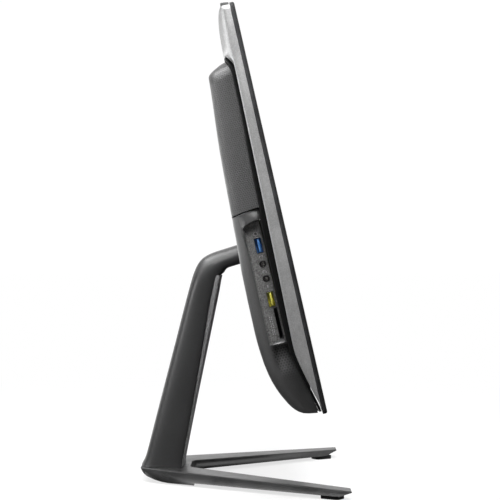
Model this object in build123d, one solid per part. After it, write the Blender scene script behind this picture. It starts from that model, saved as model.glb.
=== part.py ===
from build123d import *
import math
import os

# All-in-one desktop PC, 21.5 inch class, on a V-shaped stand. Millimetres.
# +Z is up, the screen faces -Y, and X = 0 is the symmetry plane of the stand;
# left (-X) and right (+X) are as seen from the screen side. The origin is on
# the floor under the middle of the whole object.
# Head pieces are drawn upright in head coordinates: x across, y rearwards from
# the screen face, z up the screen from its bottom edge. place() leans them back.

# Head
HEAD_W = 528.0
HEAD_H = 335.0                    # along the screen
HEAD_HALF = HEAD_W / 2
REST_TILT = 12.85                 # lean of the screen from vertical, degrees
HEAD_Y, HEAD_Z = -70.5, 88.1      # bottom front edge of the head, world
HINGE_Y, HINGE_Z = 29.0, 140.0    # tilt axis, head coordinates

BEZEL_T = 3.7
ACTIVE_W, ACTIVE_H, ACTIVE_Z = 476.0, 268.0, 45.0    # visible area and its bottom
PANEL_W, PANEL_H, PANEL_Z = 495.6, 292.2, 29.8       # backlight and its bottom
HOUSING_HALF = 240.0              # half width of the electronics housing
HOUSING_TOP = 293.6
HOUSING_R = 17.0                  # its upper corners, seen from behind
WALL = 2.2
SEAM_Z = 172.4                    # between the vent cover and the lower cover
SEAM_GAP = 0.12                   # clearance each side of a seam
FLANGE_X = 244.2                  # the grey cover's rear flange reaches in to here
STRIP_Z = 296.4                   # bottom of the crowned strip over the housing

# Stand
BASE_REAR, BASE_FRONT = 95.9, -95.9
BASE_TOP_REAR, BASE_TOP_FRONT = 13.7, 9.3
TIP_X0, TIP_X1 = 133.0, 153.0     # inner and outer edge of a leg's tip
LEG_ROOT_X, LEG_ROOT_Y = 38.0, 92.0    # where a leg's outer edge starts
LEG_BOTTOM = 3.4
COL_HALF = 36.0                   # half width of the column
NECK_HALF = 30.0                  # half width of the neck where it enters the head
NECK_R = 9.0                      # half thickness of the neck
NECK_SLOPE = 17.5                 # fall from the hinge to the column, degrees

USB_L, USB_T = 13.1, 6.2          # outside of a USB socket

PARTS = {}


# ---------------------------------------------------------------------------
# Helpers
# ---------------------------------------------------------------------------
def place(shape):
    """Head coordinates to world."""
    return Pos(0, HEAD_Y, HEAD_Z) * Rot(-REST_TILT, 0, 0) * shape


def span(side, inner, outer):
    """Ordered x limits of something on side -1 (left) or 1 (right)."""
    return sorted((side * inner, side * outer))


def with_mirror(points):
    """Points followed by their mirror image in x, in reverse order."""
    return points + [(-x, y) for x, y in reversed(points)]


def prism_x(points, x0, x1):
    """Polygon of (y, z) points, extruded along X."""
    wire = Polyline(*[(x0, y, z) for y, z in points], close=True)
    return extrude(make_face(wire), amount=x1 - x0, dir=(1, 0, 0))


def prism_x_spline(curve, line, x0, x1):
    """Spline through curve, closed by straight lines through line; (y, z) points."""
    spline = Spline(*[(x0, y, z) for y, z in curve])
    closing = Polyline(*[(x0, y, z) for y, z in [curve[-1]] + line + [curve[0]]])
    return extrude(make_face([spline, closing]), amount=x1 - x0, dir=(1, 0, 0))


def prism_y(points, y0, y1):
    """Polygon of (x, z) points, extruded along Y."""
    wire = Polyline(*[(x, y0, z) for x, z in points], close=True)
    return extrude(make_face(wire), amount=y1 - y0, dir=(0, 1, 0))


def prism_z(points, z0, z1):
    """Polygon of (x, y) points, extruded along Z."""
    wire = Polyline(*[(x, y, z0) for x, y in points], close=True)
    return extrude(make_face(wire), amount=z1 - z0, dir=(0, 0, 1))


def box(x0, x1, y0, y1, z0, z1):
    return Pos((x0 + x1) / 2, (y0 + y1) / 2, (z0 + z1) / 2) * Box(
        x1 - x0, y1 - y0, z1 - z0)


def block_x(y, z, depth, height, x0, x1):
    """Box centred on (y, z)."""
    return box(x0, x1, y - depth / 2, y + depth / 2, z - height / 2, z + height / 2)


def block_y(x, z, width, height, y0, y1):
    """Box centred on (x, z)."""
    return box(x - width / 2, x + width / 2, y0, y1, z - height / 2, z + height / 2)


def cyl_x(y, z, x0, x1, radius):
    return Pos((x0 + x1) / 2, y, z) * Rot(0, 90, 0) * Cylinder(radius, x1 - x0)


def cyl_y(x, z, y0, y1, radius):
    return Pos(x, (y0 + y1) / 2, z) * Rot(90, 0, 0) * Cylinder(radius, y1 - y0)


def cyl_z(x, y, z0, z1, radius):
    return Pos(x, y, (z0 + z1) / 2) * Cylinder(radius, z1 - z0)


def largest(shape):
    return shape.solids().sort_by(SortBy.VOLUME)[-1]


def try_fillet(solid, edges, radii):
    """Fillet with the first radius that works, else leave the solid as it is."""
    for radius in radii:
        # The kernel may refuse a radius; the next smaller one is then tried.
        try:
            rounded = fillet(edges, radius)
            if rounded.is_valid and rounded.volume > 0.5 * solid.volume:
                return rounded
        except Exception:
            pass
    return solid


def group(shapes):
    """One compound of the first solid of each shape."""
    return Compound(children=[s if isinstance(s, Solid) else s.solids()[0]
                              for s in shapes])


def screw_set(holes, head_y, head_radius, head_t, shank_radius, length):
    """Cross-slotted screws at (x, z) holes, heads to the rear, in world."""
    screws = []
    top = head_y + head_t
    for x, z in holes:
        screw = cyl_y(x, z, head_y, top, head_radius)
        screw += cyl_y(x, z, head_y - length, head_y + 0.01, shank_radius)
        screw -= block_y(x, z, 3.2, 0.6, top - 0.8, top + 1)
        screw -= block_y(x, z, 0.6, 3.2, top - 0.8, top + 1)
        screws.append(place(screw))
    return group(screws)


# ---------------------------------------------------------------------------
# Head profiles, all as (y, z), top to bottom
# ---------------------------------------------------------------------------
# rear face of the side bands
BAND = [(10.1, 334.2), (10.2, 330), (10.5, 306), (10.7, 289), (11.3, 249),
        (11.8, 217), (13.0, 148), (14.5, 75), (14.8, 59), (15.0, 48.5),
        (13.5, 42.5), (11.2, 33.8), (9.1, 25.2), (7.0, 16.6), (4.7, 8.8)]
# rear silhouette of the electronics housing
HOUSING_REAR = [
    (19.0, 293.2), (24.6, 291.8), (28.8, 290.4), (31.4, 287.8), (32.7, 283.6),
    (33.7, 275.0), (34.5, 264.7), (37.7, 224), (39.6, 183), (40.8, 150),
    (42.0, 126), (42.6, 93), (42.7, 72), (42.2, 60), (41.4, 51),
    (39.3, 38), (35.6, 25), (31.4, 15.8), (27.6, 9.0), (24.0, 5.0)]
# front edge of the housing
HOUSING_FRONT = [
    (13.9, 283), (14.0, 252), (15.3, 219), (16.2, 186), (16.5, 174),
    (18.8, 160), (19.2, 60), (18.2, 50), (15.5, 40), (13.2, 30),
    (10.8, 20), (8.3, 10), (6.6, 4.2)]
# crown of the slim strip above the housing
DOME = [(11.6, 334.2), (13.2, 333.0), (14.4, 330), (15.5, 325), (16.5, 318),
        (17.1, 310), (17.4, 303), (17.6, 296.4)]
DOME_INSIDE = [(4.5, 290.0), (16.0, 290.0), (15.9, 303), (15.5, 310), (14.9, 318),
               (13.8, 325), (12.6, 330), (11.6, 332.4), (4.5, 332.4)]
# plan of the strip's rounded ends as (x, y), left end inwards
DOME_PLAN = [(-263.6, 9.0), (-263.6, 10.6), (-262.4, 12.0), (-258, 14.2),
             (-252, 15.9), (-244, 17.0), (-232, 18.2)]
DOME_PLAN_INSIDE = [(-262.0, 4.5), (-261.8, 9.0), (-261.0, 10.4), (-257, 12.6),
                    (-251, 14.2), (-243, 15.3), (-232, 16.5)]

# ---------------------------------------------------------------------------
# Front bezel
# ---------------------------------------------------------------------------
CAM_Z = 324.5
MIC_X = 14.0
SEAT_Y = 2.0                      # depth at which the panel seat starts

bezel = box(-HEAD_HALF, HEAD_HALF, 0, BEZEL_T, 0, HEAD_H)
bezel = try_fillet(bezel, bezel.edges().filter_by(Axis.Y), [4.0, 3.0])
bezel = try_fillet(bezel, bezel.faces().sort_by(Axis.Y)[0].edges(), [1.0, 0.6])
bezel -= box(-ACTIVE_W / 2, ACTIVE_W / 2, -1, BEZEL_T + 1,
             ACTIVE_Z, ACTIVE_Z + ACTIVE_H)
bezel -= box(-PANEL_W / 2 - 0.3, PANEL_W / 2 + 0.3, SEAT_Y, BEZEL_T + 1,
             PANEL_Z - 0.3, PANEL_Z + PANEL_H + 0.3)
bezel -= cyl_y(0, CAM_Z, -1, 5, 3.2)                  # webcam window
bezel -= box(-4.6, 4.6, SEAT_Y, 5, 322.4, 328.2)      # seat of the webcam
for side in (-1, 1):
    bezel -= cyl_y(side * MIC_X, CAM_Z, -1, 5, 0.6)   # microphone holes
PARTS["front_bezel"] = place(bezel)

# ---------------------------------------------------------------------------
# Glass, and the backlight whose raised rim surrounds it
# ---------------------------------------------------------------------------
GLASS_HALF, GLASS_Z0, GLASS_Z1 = 242.0, 40.0, 318.0
GLASS_GAP = 0.2
RIM_Y = (2.1, 3.7)

PARTS["lcd_glass"] = place(box(-GLASS_HALF, GLASS_HALF, 2.1, 3.5, GLASS_Z0, GLASS_Z1))

panel_half, panel_top = PANEL_W / 2, PANEL_Z + PANEL_H
backlight = box(-panel_half, panel_half, 3.6, 8.8, PANEL_Z, panel_top)
backlight += box(-panel_half, panel_half, *RIM_Y, PANEL_Z, GLASS_Z0 - GLASS_GAP)
backlight += box(-panel_half, panel_half, *RIM_Y, GLASS_Z1 + GLASS_GAP, panel_top)
for side in (-1, 1):
    backlight += box(*span(side, GLASS_HALF + GLASS_GAP, panel_half), *RIM_Y,
                     PANEL_Z, panel_top)
PARTS["backlight_unit"] = place(backlight)

# ---------------------------------------------------------------------------
# Webcam behind the top of the bezel, and its lens
# ---------------------------------------------------------------------------
webcam = box(-4.4, 4.4, 2.2, 3.4, 322.7, 328.0)
webcam += box(-30, 30, 3.9, 5.1, 322.9, 328.6)        # circuit board
webcam += box(-4.4, 4.4, 3.3, 4.0, 322.9, 327.9)
PARTS["webcam_module"] = place(webcam)
PARTS["webcam_lens"] = place(cyl_y(0, CAM_Z, 0.5, 2.05, 2.9))

# ---------------------------------------------------------------------------
# Grey rear cover: side bands, top wall and the crowned strip over the housing
# ---------------------------------------------------------------------------
COVER_TOP = 334.2
COVER_TOP_INSIDE = 332.4

band_outer = prism_x([(BEZEL_T + 0.05, 6.0), (BEZEL_T + 0.05, COVER_TOP)] + BAND,
                     -HEAD_HALF, HEAD_HALF)
crown = prism_x([(9.0, STRIP_Z)] + DOME[::-1] + [(9.0, COVER_TOP)],
                -HEAD_HALF, HEAD_HALF)
crown &= prism_z(with_mirror(DOME_PLAN), 290, 340)
crown_inside = prism_x(DOME_INSIDE, -HEAD_HALF, HEAD_HALF)
crown_inside &= prism_z(with_mirror(DOME_PLAN_INSIDE), 285, 340)
band_inside = prism_x([(0, -5), (0, COVER_TOP_INSIDE), (8.6, COVER_TOP_INSIDE)] +
                      [(y - 1.3, z) for y, z in BAND[1:]] + [(3.0, -5)],
                      -HEAD_HALF + 2.0, HEAD_HALF - 2.0)
rear_cover = band_outer + crown - band_inside - crown_inside
rear_cover -= box(-FLANGE_X, FLANGE_X, -1, 40, -5, STRIP_Z)
PARTS["rear_cover"] = place(largest(rear_cover))

# ---------------------------------------------------------------------------
# Black mid frame between the rear cover and the electronics housing
# ---------------------------------------------------------------------------
FRAME_TOP = 296.2

frame = prism_x([(9.2, FRAME_TOP), (16.6, FRAME_TOP), (17.6, 294.1), (13.8, 293.9)] +
                [(y - SEAM_GAP, z) for y, z in HOUSING_FRONT] +
                [(5.0, 0.6), (4.0, 0.6), (4.0, 28.5), (9.2, 28.5)],
                -FLANGE_X + 0.3, FLANGE_X - 0.3)
frame -= box(-232, 232, 0, 30, 22, 284)
# rounded upper corners, where the frame runs round the housing
corner_x, corner_z = FLANGE_X - HOUSING_R - 3.5, FRAME_TOP - HOUSING_R - 3.5
for side in (-1, 1):
    corner = box(*span(side, corner_x, 260), 13.0, 40, corner_z, 300)
    corner -= cyl_y(side * corner_x, corner_z, 0, 50, HOUSING_R + 3.2)
    frame -= corner
PARTS["mid_frame"] = place(largest(frame))


# ---------------------------------------------------------------------------
# Electronics housing shell, split below into vent cover and lower cover
# ---------------------------------------------------------------------------
def inset_curve(points, inset):
    """Move each (y, z) point of a top-to-bottom rear silhouette inwards."""
    moved = []
    for i, (y, z) in enumerate(points):
        before = points[max(i - 1, 0)]
        after = points[min(i + 1, len(points) - 1)]
        step_y, step_z = after[0] - before[0], after[1] - before[1]
        length = math.hypot(step_y, step_z)
        moved.append((y + step_z / length * inset, z - step_y / length * inset))
    return moved


def round_sides(solid, half_width, y_min, radii):
    """Round the edges of the end faces that lie behind y_min."""
    edges = []
    for edge in solid.edges():
        centre = edge.center()
        if abs(abs(centre.X) - half_width) < 0.01 and centre.Y > y_min:
            edges.append(edge)
    return try_fillet(solid, edges, radii)


def housing_outline(half_width, top, radius):
    """Block with the housing's rear view: rounded upper corners."""
    block = box(-half_width, half_width, -20, 80, -30, top)
    return fillet(block.edges().filter_by(Axis.Y).group_by(Axis.Z)[-1], radius)


INSIDE_HALF, INSIDE_TOP = HOUSING_HALF - WALL, 291.4
# straight closing lines of the outer and inner sections, bottom to top
OUTER_CLOSE = [(18.8, 1.3), (5.4, -0.7)] + HOUSING_FRONT[::-1] + [(13.9, HOUSING_TOP)]
INNER_CLOSE = [(18.6, 3.7), (5.0, 1.6), (0.0, 1.6), (0.0, INSIDE_TOP), (18.0, INSIDE_TOP)]

housing = prism_x_spline(HOUSING_REAR, OUTER_CLOSE, -HOUSING_HALF, HOUSING_HALF)
housing = round_sides(housing, HOUSING_HALF, 30.0, [8.0, 6.0, 4.0])
housing &= housing_outline(HOUSING_HALF, HOUSING_TOP, HOUSING_R)
cavity = prism_x_spline(inset_curve(HOUSING_REAR, WALL), INNER_CLOSE,
                        -INSIDE_HALF, INSIDE_HALF)
cavity = round_sides(cavity, INSIDE_HALF, 28.0, [6.0, 4.5, 3.0])
cavity &= housing_outline(INSIDE_HALF, INSIDE_TOP, HOUSING_R - WALL)
shell = housing - cavity

# ---------------------------------------------------------------------------
# Upper vent cover
# ---------------------------------------------------------------------------
SLOT_H = 2.6

vent = shell & box(-300, 300, -10, 60, SEAM_Z + SEAM_GAP, 320)
# two rows of vent slots near the top edge
for i in range(24):
    x = -149.5 + i * 13.0
    for z in (268.0, 261.0):
        vent -= box(x - 4.5, x + 4.5, 24, 45, z, z + SLOT_H)
# intake slots over the fan
for j in range(5):
    for i in range(6):
        x = 101.0 + i * 11.6
        z = 196.0 + j * 8
        vent -= box(x - 4.2, x + 4.2, 30, 45, z, z + SLOT_H)
PARTS["upper_vent_cover"] = place(largest(vent))

# ---------------------------------------------------------------------------
# Lower rear cover: side recesses, speaker slots, neck opening, I/O window
# ---------------------------------------------------------------------------
REC_Z0, REC_Z1, REC_Y1 = 60.0, 161.0, 32.0            # recess on both sides
NECK_OPEN = (122.6, 153.0)                            # z range
IO_X0, IO_X1, IO_Z0, IO_Z1 = -206.0, -72.0, 47.0, 74.0

lower = shell & box(-300, 300, -10, 60, -20, SEAM_Z - SEAM_GAP)
for side in (-1, 1):
    lower -= box(*span(side, 228.0, 245.0), 5, REC_Y1, REC_Z0, REC_Z1)
    for k in range(7):
        z = 18.0 + k * 4.6
        y = 15.5 + 0.05 * z
        lower -= box(*span(side, 230, 245), y, y + 9.0, z, z + 1.8)
neck_cut = box(-NECK_HALF - 3.0, NECK_HALF + 3.0, 30, 60, *NECK_OPEN)
neck_cut = fillet(neck_cut.edges().filter_by(Axis.Y), 5.0)
lower -= neck_cut
lower -= box(IO_X0, IO_X1, 30, 60, IO_Z0, IO_Z1)
PARTS["lower_rear_cover"] = place(largest(lower))

# ---------------------------------------------------------------------------
# Left side: port panel and ports. Port places are (y, z).
# ---------------------------------------------------------------------------
BOARD_Y0, BOARD_Y1 = 18.4, 20.0   # front and rear face of the main board
SEATED_Y = BOARD_Y1 + 0.05        # front of the sockets that stand on it
TRAY_CUT = (231, 240)             # |x| range of cuts through a tray floor
LEFT_CUT = (-240, -231)
PORT_X = -232.8                   # outer end of the left ports

SIDE_USB = {"usb3_port": (23.8, 141.9), "charging_usb_port": (23.8, 97.3)}
SIDE_JACKS = {"headphone_jack": (23.9, 126.5), "microphone_jack": (23.8, 114.4)}
CARD_SLOT = (22.1, 77.0)
LIGHT = (24.3, 151.6)


def side_tray():
    """Shallow tray that fills the right recess."""
    gap, rim = 0.15, 1.2
    outer_x, floor_x, back_x = 239.4, 233.0, 231.4
    y1, z0, z1 = REC_Y1 - gap, REC_Z0 + gap, REC_Z1 - gap
    tray = box(back_x, outer_x, 19.25, y1, z0, z1)
    return tray - box(floor_x, outer_x + 1, 10, y1 - rim, z0 + rim, z1 - rim)


left_panel = mirror(side_tray(), Plane.YZ)
for place_yz in SIDE_USB.values():
    left_panel -= block_x(*place_yz, USB_T + 0.3, USB_L + 0.3, *LEFT_CUT)
for place_yz in SIDE_JACKS.values():
    left_panel -= cyl_x(*place_yz, *LEFT_CUT, 3.15)
left_panel -= block_x(*CARD_SLOT, 3.5, 26.8, *LEFT_CUT)
left_panel -= cyl_x(*LIGHT, *LEFT_CUT, 1.05)
PARTS["left_port_panel"] = place(left_panel)

for name, (y, z) in SIDE_USB.items():
    socket = block_x(y, z, USB_T, USB_L, PORT_X, -217.0)
    socket -= block_x(y, z, USB_T - 1.0, USB_L - 1.0, PORT_X - 1, -218.5)
    PARTS[name + "_shell"] = place(socket)
    PARTS[name + "_tongue"] = place(box(-231.6, -218.55, y - 1.7, y + 0.2,
                                        z - USB_L / 2 + 1.4, z + USB_L / 2 - 1.4))

for name, (y, z) in SIDE_JACKS.items():
    jack = cyl_x(y, z, PORT_X, -228.0, 3.0) + box(-228.01, -216, SEATED_Y, 26.9,
                                                  z - 3.2, z + 3.2)
    jack -= cyl_x(y, z, -240, -218, 1.8)
    PARTS[name] = place(jack)

card_reader = block_x(*CARD_SLOT, 3.2, 26.4, PORT_X, -203.0)
card_reader -= block_x(*CARD_SLOT, 2.2, 24.4, PORT_X - 1, -206.0)
PARTS["card_reader"] = place(card_reader)
PARTS["status_light"] = place(cyl_x(*LIGHT, -233.0, -229.5, 0.9))

# ---------------------------------------------------------------------------
# Right side: control panel, power button, two brightness keys, their board
# ---------------------------------------------------------------------------
CONTROL_Y = 24.6
POWER_Z, POWER_R = 140.0, 5.0
KEYS = {"brightness_up_button": 116.0, "brightness_down_button": 98.0}    # z
KEY_D, KEY_H = 6.0, 12.0
BUTTON_X0 = 227.8
BUTTON_FLANGE = (227.0, 228.0)    # x range of the flange behind each button

right_panel = side_tray()
right_panel -= cyl_x(CONTROL_Y, POWER_Z, *TRAY_CUT, POWER_R + 0.25)
for z in KEYS.values():
    right_panel -= block_x(CONTROL_Y, z, KEY_D + 0.5, KEY_H + 0.5, *TRAY_CUT)
PARTS["right_control_panel"] = place(right_panel)

power = cyl_x(CONTROL_Y, POWER_Z, BUTTON_X0, 234.6, POWER_R)
power = try_fillet(power, power.edges().sort_by(Axis.X)[-1:], [0.5])
power += cyl_x(CONTROL_Y, POWER_Z, *BUTTON_FLANGE, POWER_R + 1.6)
PARTS["power_button"] = place(power)

for name, z in KEYS.items():
    key = block_x(CONTROL_Y, z, KEY_D, KEY_H, BUTTON_X0, 234.4)
    key = fillet(key.edges().filter_by(Axis.X), 1.2)
    key += block_x(CONTROL_Y, z, KEY_D + 2.0, KEY_H + 2.4, *BUTTON_FLANGE)
    PARTS[name] = place(key)

control_board = box(222.6, 224.2, 18.5, 30.8, 90.0, 150.0)
for z in (POWER_Z, *KEYS.values()):
    control_board += block_x(CONTROL_Y, z, 5.2, 5.2, 224.19, 225.8)    # switches
PARTS["control_board"] = place(control_board)

# ---------------------------------------------------------------------------
# Rear I/O
# ---------------------------------------------------------------------------
IO_Y = 34.0                       # front face of the plate
IO_MID = 60.5                     # z of the row of sockets
# x, width, height
POWER_INLET = (-190.0, 9.2, 9.2)
ETHERNET = (-168.0, 16.0, 14.0)
HDMI = (-143.5, 15.2, 6.0)
REAR_USB_X = (-118.0, -99.0, -83.0)

io_plate = box(IO_X0 - 2, IO_X1 + 2, IO_Y, IO_Y + 1.0, IO_Z0 - 1.0, IO_Z1 + 1.5)
io_plate += box(IO_X0 + 0.2, IO_X1 - 0.2, IO_Y + 0.9, 39.6, IO_Z1 - 1.4, IO_Z1 - 0.2)
io_plate += box(IO_X0 + 0.2, IO_X1 - 0.2, IO_Y + 0.9, 39.0, IO_Z0 + 0.2, IO_Z0 + 1.4)
for x, width, height in (POWER_INLET, ETHERNET, HDMI):
    io_plate -= block_y(x, IO_MID, width + 0.4, height + 0.4, 30, 40)
for x in REAR_USB_X:
    io_plate -= block_y(x, IO_MID, 6.6, 13.6, 30, 40)
PARTS["rear_io_plate"] = place(io_plate)


def socket_body(x, width, height):
    return block_y(x, IO_MID, width, height, SEATED_Y, 34.9)


x = POWER_INLET[0]
socket = socket_body(*POWER_INLET)
socket -= cyl_y(x, IO_MID, 22.0, 40, 3.6)
socket += cyl_y(x, IO_MID, 21.5, 33.5, 0.9)           # centre pin
PARTS["power_inlet"] = place(socket)

x = ETHERNET[0]
socket = socket_body(*ETHERNET)
socket -= box(x - 5.9, x + 5.9, 24.0, 40, IO_MID - 4.2, IO_MID + 4.4)
socket -= box(x - 2.0, x + 2.0, 24.0, 40, IO_MID - 6.0, IO_MID - 4.1)
PARTS["ethernet_port"] = place(socket)

x = HDMI[0]
socket = socket_body(*HDMI)
socket -= block_y(x, IO_MID, 14.0, 4.4, 24.0, 40)
socket += block_y(x, IO_MID, 10.8, 0.8, 23.9, 33.5)   # tongue
PARTS["hdmi_port"] = place(socket)

rear_usb = []
for x in REAR_USB_X:
    socket = socket_body(x, USB_T, USB_L)
    socket -= block_y(x, IO_MID, USB_T - 1.0, USB_L - 1.0, 24, 40)
    socket += box(x - 0.4, x + 1.4, 23.9, 33.5, IO_MID - 5.2, IO_MID + 5.2)
    rear_usb.append(place(socket))
PARTS["rear_usb_ports"] = group(rear_usb)

# ---------------------------------------------------------------------------
# Steel chassis plate with standoffs. Holes are (x, z).
# ---------------------------------------------------------------------------
FAN_X, FAN_Z = 130.0, 216.0
FAN_PITCH = 67.0
PLATE_Y0, PLATE_Y1 = 11.0, 12.2
BOARD_HOLES = [(-206, 52), (-70, 76), (-206, 244), (-70, 244), (-138, 152), (-70, 160)]
FAN_HOLES = [(FAN_X + i * FAN_PITCH / 2, FAN_Z + j * FAN_PITCH / 2)
             for j in (-1, 1) for i in (-1, 1)]
HINGE_HOLES = [(i * 44.0, z) for i in (-1, 1) for z in (108.0, 172.0)]
HINGE_HOLE_R = 2.05

plate = box(-231.6, 231.6, PLATE_Y0, PLATE_Y1, 22.4, 283.6)
for x, z in BOARD_HOLES:
    plate += cyl_y(x, z, PLATE_Y1 - 0.1, BOARD_Y0 - 0.02, 3.0)
for x, z in BOARD_HOLES:
    plate -= cyl_y(x, z, 13.0, 30, 1.45)
for x, z in FAN_HOLES:
    plate += cyl_y(x, z, PLATE_Y1 - 0.1, 14.98, 2.6)
    plate -= cyl_y(x, z, 11.5, 30, 1.35)
window = box(-40, 40, 0, 20, 200, 262)
plate -= fillet(window.edges().filter_by(Axis.Y), 8)
for x, z in HINGE_HOLES:
    plate -= cyl_y(x, z, 0, 20, HINGE_HOLE_R)
PARTS["chassis_plate"] = place(largest(plate))

# ---------------------------------------------------------------------------
# Main board with its soldered packages
# ---------------------------------------------------------------------------
BOARD_X0, BOARD_X1, BOARD_Z0, BOARD_Z1 = -214.0, -62.0, 44.0, 252.0
SOLDER_Y = BOARD_Y1 - 0.01        # packages overlap the board slightly
CPU_X, CPU_Z = -130.0, 209.0
CPU_CORNERS = [(i, j) for i in (-1, 1) for j in (-1, 1)]
CPU_HOLES = [(CPU_X + i * 22, CPU_Z + j * 22) for i, j in CPU_CORNERS]
MEMORY_Z = (158.0, 124.0)

board = box(BOARD_X0, BOARD_X1, BOARD_Y0, BOARD_Y1, BOARD_Z0, BOARD_Z1)
board += box(-229.0, BOARD_X0 + 0.01, BOARD_Y0, BOARD_Y1, 62.0, 150.0)
for x, z in BOARD_HOLES + CPU_HOLES:
    board -= cyl_y(x, z, 10, 30, 1.6)
board += box(-136, -112, SOLDER_Y, 21.6, 122, 146)
board += box(-196, -186, SOLDER_Y, 22.0, 176, 200)
for k in range(5):
    board += box(-98 + k * 6.4, -94 + k * 6.4, SOLDER_Y, 25.0, 232, 237)
for z in MEMORY_Z:
    board += box(-150.2, -145.6, SOLDER_Y, 26.4, z - 16.5, z + 16.5)    # memory sockets
board += box(-87.9, -85.0, SOLDER_Y, 24.6, 84, 114)   # at the end of the wifi card
PARTS["motherboard"] = place(board)
PARTS["motherboard_screws"] = screw_set(BOARD_HOLES, 20.02, 2.6, 1.5, 1.4, 6.0)

# ---------------------------------------------------------------------------
# Processor and its cold plate with four diagonal arms
# ---------------------------------------------------------------------------
cpu = block_y(CPU_X, CPU_Z, 32, 32, 20.02, 21.4)
cpu += block_y(CPU_X, CPU_Z, 14, 14, 21.39, 22.3)
PARTS["cpu"] = place(cpu)

cold_plate = block_y(CPU_X, CPU_Z, 36, 36, 22.32, 24.2)
for i, j in CPU_CORNERS:
    cold_plate += (Pos(CPU_X + i * 20, 23.26, CPU_Z + j * 20) * Rot(90, 0, 0) *
                   Rot(0, 0, 45 * i * j) * Box(14, 6, 1.8))
for x, z in CPU_HOLES:
    cold_plate -= cyl_y(x, z, 10, 30, 1.6)
PARTS["cpu_cold_plate"] = place(largest(cold_plate))
PARTS["cold_plate_screws"] = screw_set(CPU_HOLES, 24.22, 2.4, 1.5, 1.35, 5.6)

# ---------------------------------------------------------------------------
# Heat pipe from the cold plate up and across to the fin stack
# ---------------------------------------------------------------------------
PIPE_Y, PIPE_Z = 27.4, 264.0      # its horizontal run
PIPE_RX, PIPE_RY = 4.2, 3.1       # half axes of the flattened section
FIN_COUNT, FIN_PITCH, FIN_T, FIN_X0 = 23, 2.9, 0.5, 98.0
FIN_Z = (254.6, 272.4)

pipe_start = (CPU_X, PIPE_Y, CPU_Z - 14)
pipe_path = FilletPolyline(pipe_start, (CPU_X, PIPE_Y, PIPE_Z), (168.0, PIPE_Y, PIPE_Z),
                           radius=14)
pipe_section = Plane(origin=pipe_start, x_dir=(1, 0, 0),
                     z_dir=(0, 0, 1)) * Ellipse(PIPE_RX, PIPE_RY)
PARTS["heat_pipe"] = place(sweep(pipe_section, path=pipe_path))

fins = box(FIN_X0, FIN_X0 + FIN_T, 17.0, 31.2, *FIN_Z)
for i in range(1, FIN_COUNT):
    x = FIN_X0 + i * FIN_PITCH
    fins += box(x, x + FIN_T, 17.0, 31.2, *FIN_Z)
fins += box(FIN_X0, FIN_X0 + (FIN_COUNT - 1) * FIN_PITCH + FIN_T, 16.4, 17.1, *FIN_Z)
fins -= Pos(FAN_X, PIPE_Y, PIPE_Z) * Rot(0, 90, 0) * extrude(
    Ellipse(PIPE_RX + 0.06, PIPE_RY + 0.06), amount=60, both=True)
PARTS["heat_sink_fins"] = place(largest(fins))

# ---------------------------------------------------------------------------
# Fan: housing open towards the fins, impeller on a fixed axle
# ---------------------------------------------------------------------------
FAN_INSIDE = (16.4, 30.4)         # y range
BLADES = 19

fan_housing = block_y(FAN_X, FAN_Z, 76, 76, 15.0, 31.6)
fan_housing -= cyl_y(FAN_X, FAN_Z, *FAN_INSIDE, 34.5)
fan_housing -= box(FAN_X - 30, FAN_X + 30, *FAN_INSIDE, FAN_Z, FAN_Z + 40)    # outlet
fan_housing -= cyl_y(FAN_X, FAN_Z, 30.0, 33, 24.0)    # inlet
for x, z in FAN_HOLES:
    fan_housing -= cyl_y(x, z, 0, 50, 1.6)
fan_housing += cyl_y(FAN_X, FAN_Z, 16.39, 24.0, 1.5)  # axle
PARTS["fan_housing"] = place(fan_housing)
PARTS["fan_screws"] = screw_set(FAN_HOLES, 31.62, 2.2, 0.9, 1.3, 17.5)

impeller = cyl_y(FAN_X, FAN_Z, 17.2, 29.0, 15.0) - cyl_y(FAN_X, FAN_Z, 10, 26.0, 1.56)
for k in range(BLADES):
    impeller += Pos(FAN_X, 0, FAN_Z) * Rot(0, k * 360.0 / BLADES, 0) * (
        Pos(22.6, 23.0, 0) * Rot(0, 24, 0) * Box(17.5, 10.6, 0.9))
impeller += cyl_y(FAN_X, FAN_Z, 17.2, 18.0, 31.4) - cyl_y(FAN_X, FAN_Z, 10, 30, 14.0)
PARTS["fan_impeller"] = place(largest(impeller))

# ---------------------------------------------------------------------------
# Memory, wifi card, clock battery
# ---------------------------------------------------------------------------
PARTS["memory_modules"] = group([
    place(box(-212.0, -150.4, 23.2, 24.4, z - 15, z + 15)) for z in MEMORY_Z])
PARTS["wifi_card"] = (place(box(-118, -88, 22.2, 23.0, 88, 110)) +
                      place(box(-114, -96, 22.9, 24.4, 91, 107)))
PARTS["clock_battery"] = place(cyl_y(-88, 150, 20.6, 23.8, 10.0))

# ---------------------------------------------------------------------------
# Hard disk on its bracket
# ---------------------------------------------------------------------------
DISK_X0, DISK_X1, DISK_Z0, DISK_Z1 = 66.0, 213.0, 58.0, 159.6

bracket = box(DISK_X0 - 2, DISK_X1 + 2, 12.3, 13.4, DISK_Z0 - 2, DISK_Z1 + 2)
for z in (DISK_Z0 - 2, DISK_Z1 + 0.9):
    bracket += box(DISK_X0 + 10, DISK_X1 - 10, 13.39, 26.0, z, z + 1.1)
bracket -= box(DISK_X0 + 30, DISK_X1 - 30, 10, 14, DISK_Z0 + 25, DISK_Z1 - 25)
PARTS["hard_drive_bracket"] = place(bracket)

disk = box(DISK_X0, DISK_X1, 13.6, 33.6, DISK_Z0, DISK_Z1 - 0.1)
disk = try_fillet(disk, disk.edges().filter_by(Axis.Y), [2.0])
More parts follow.
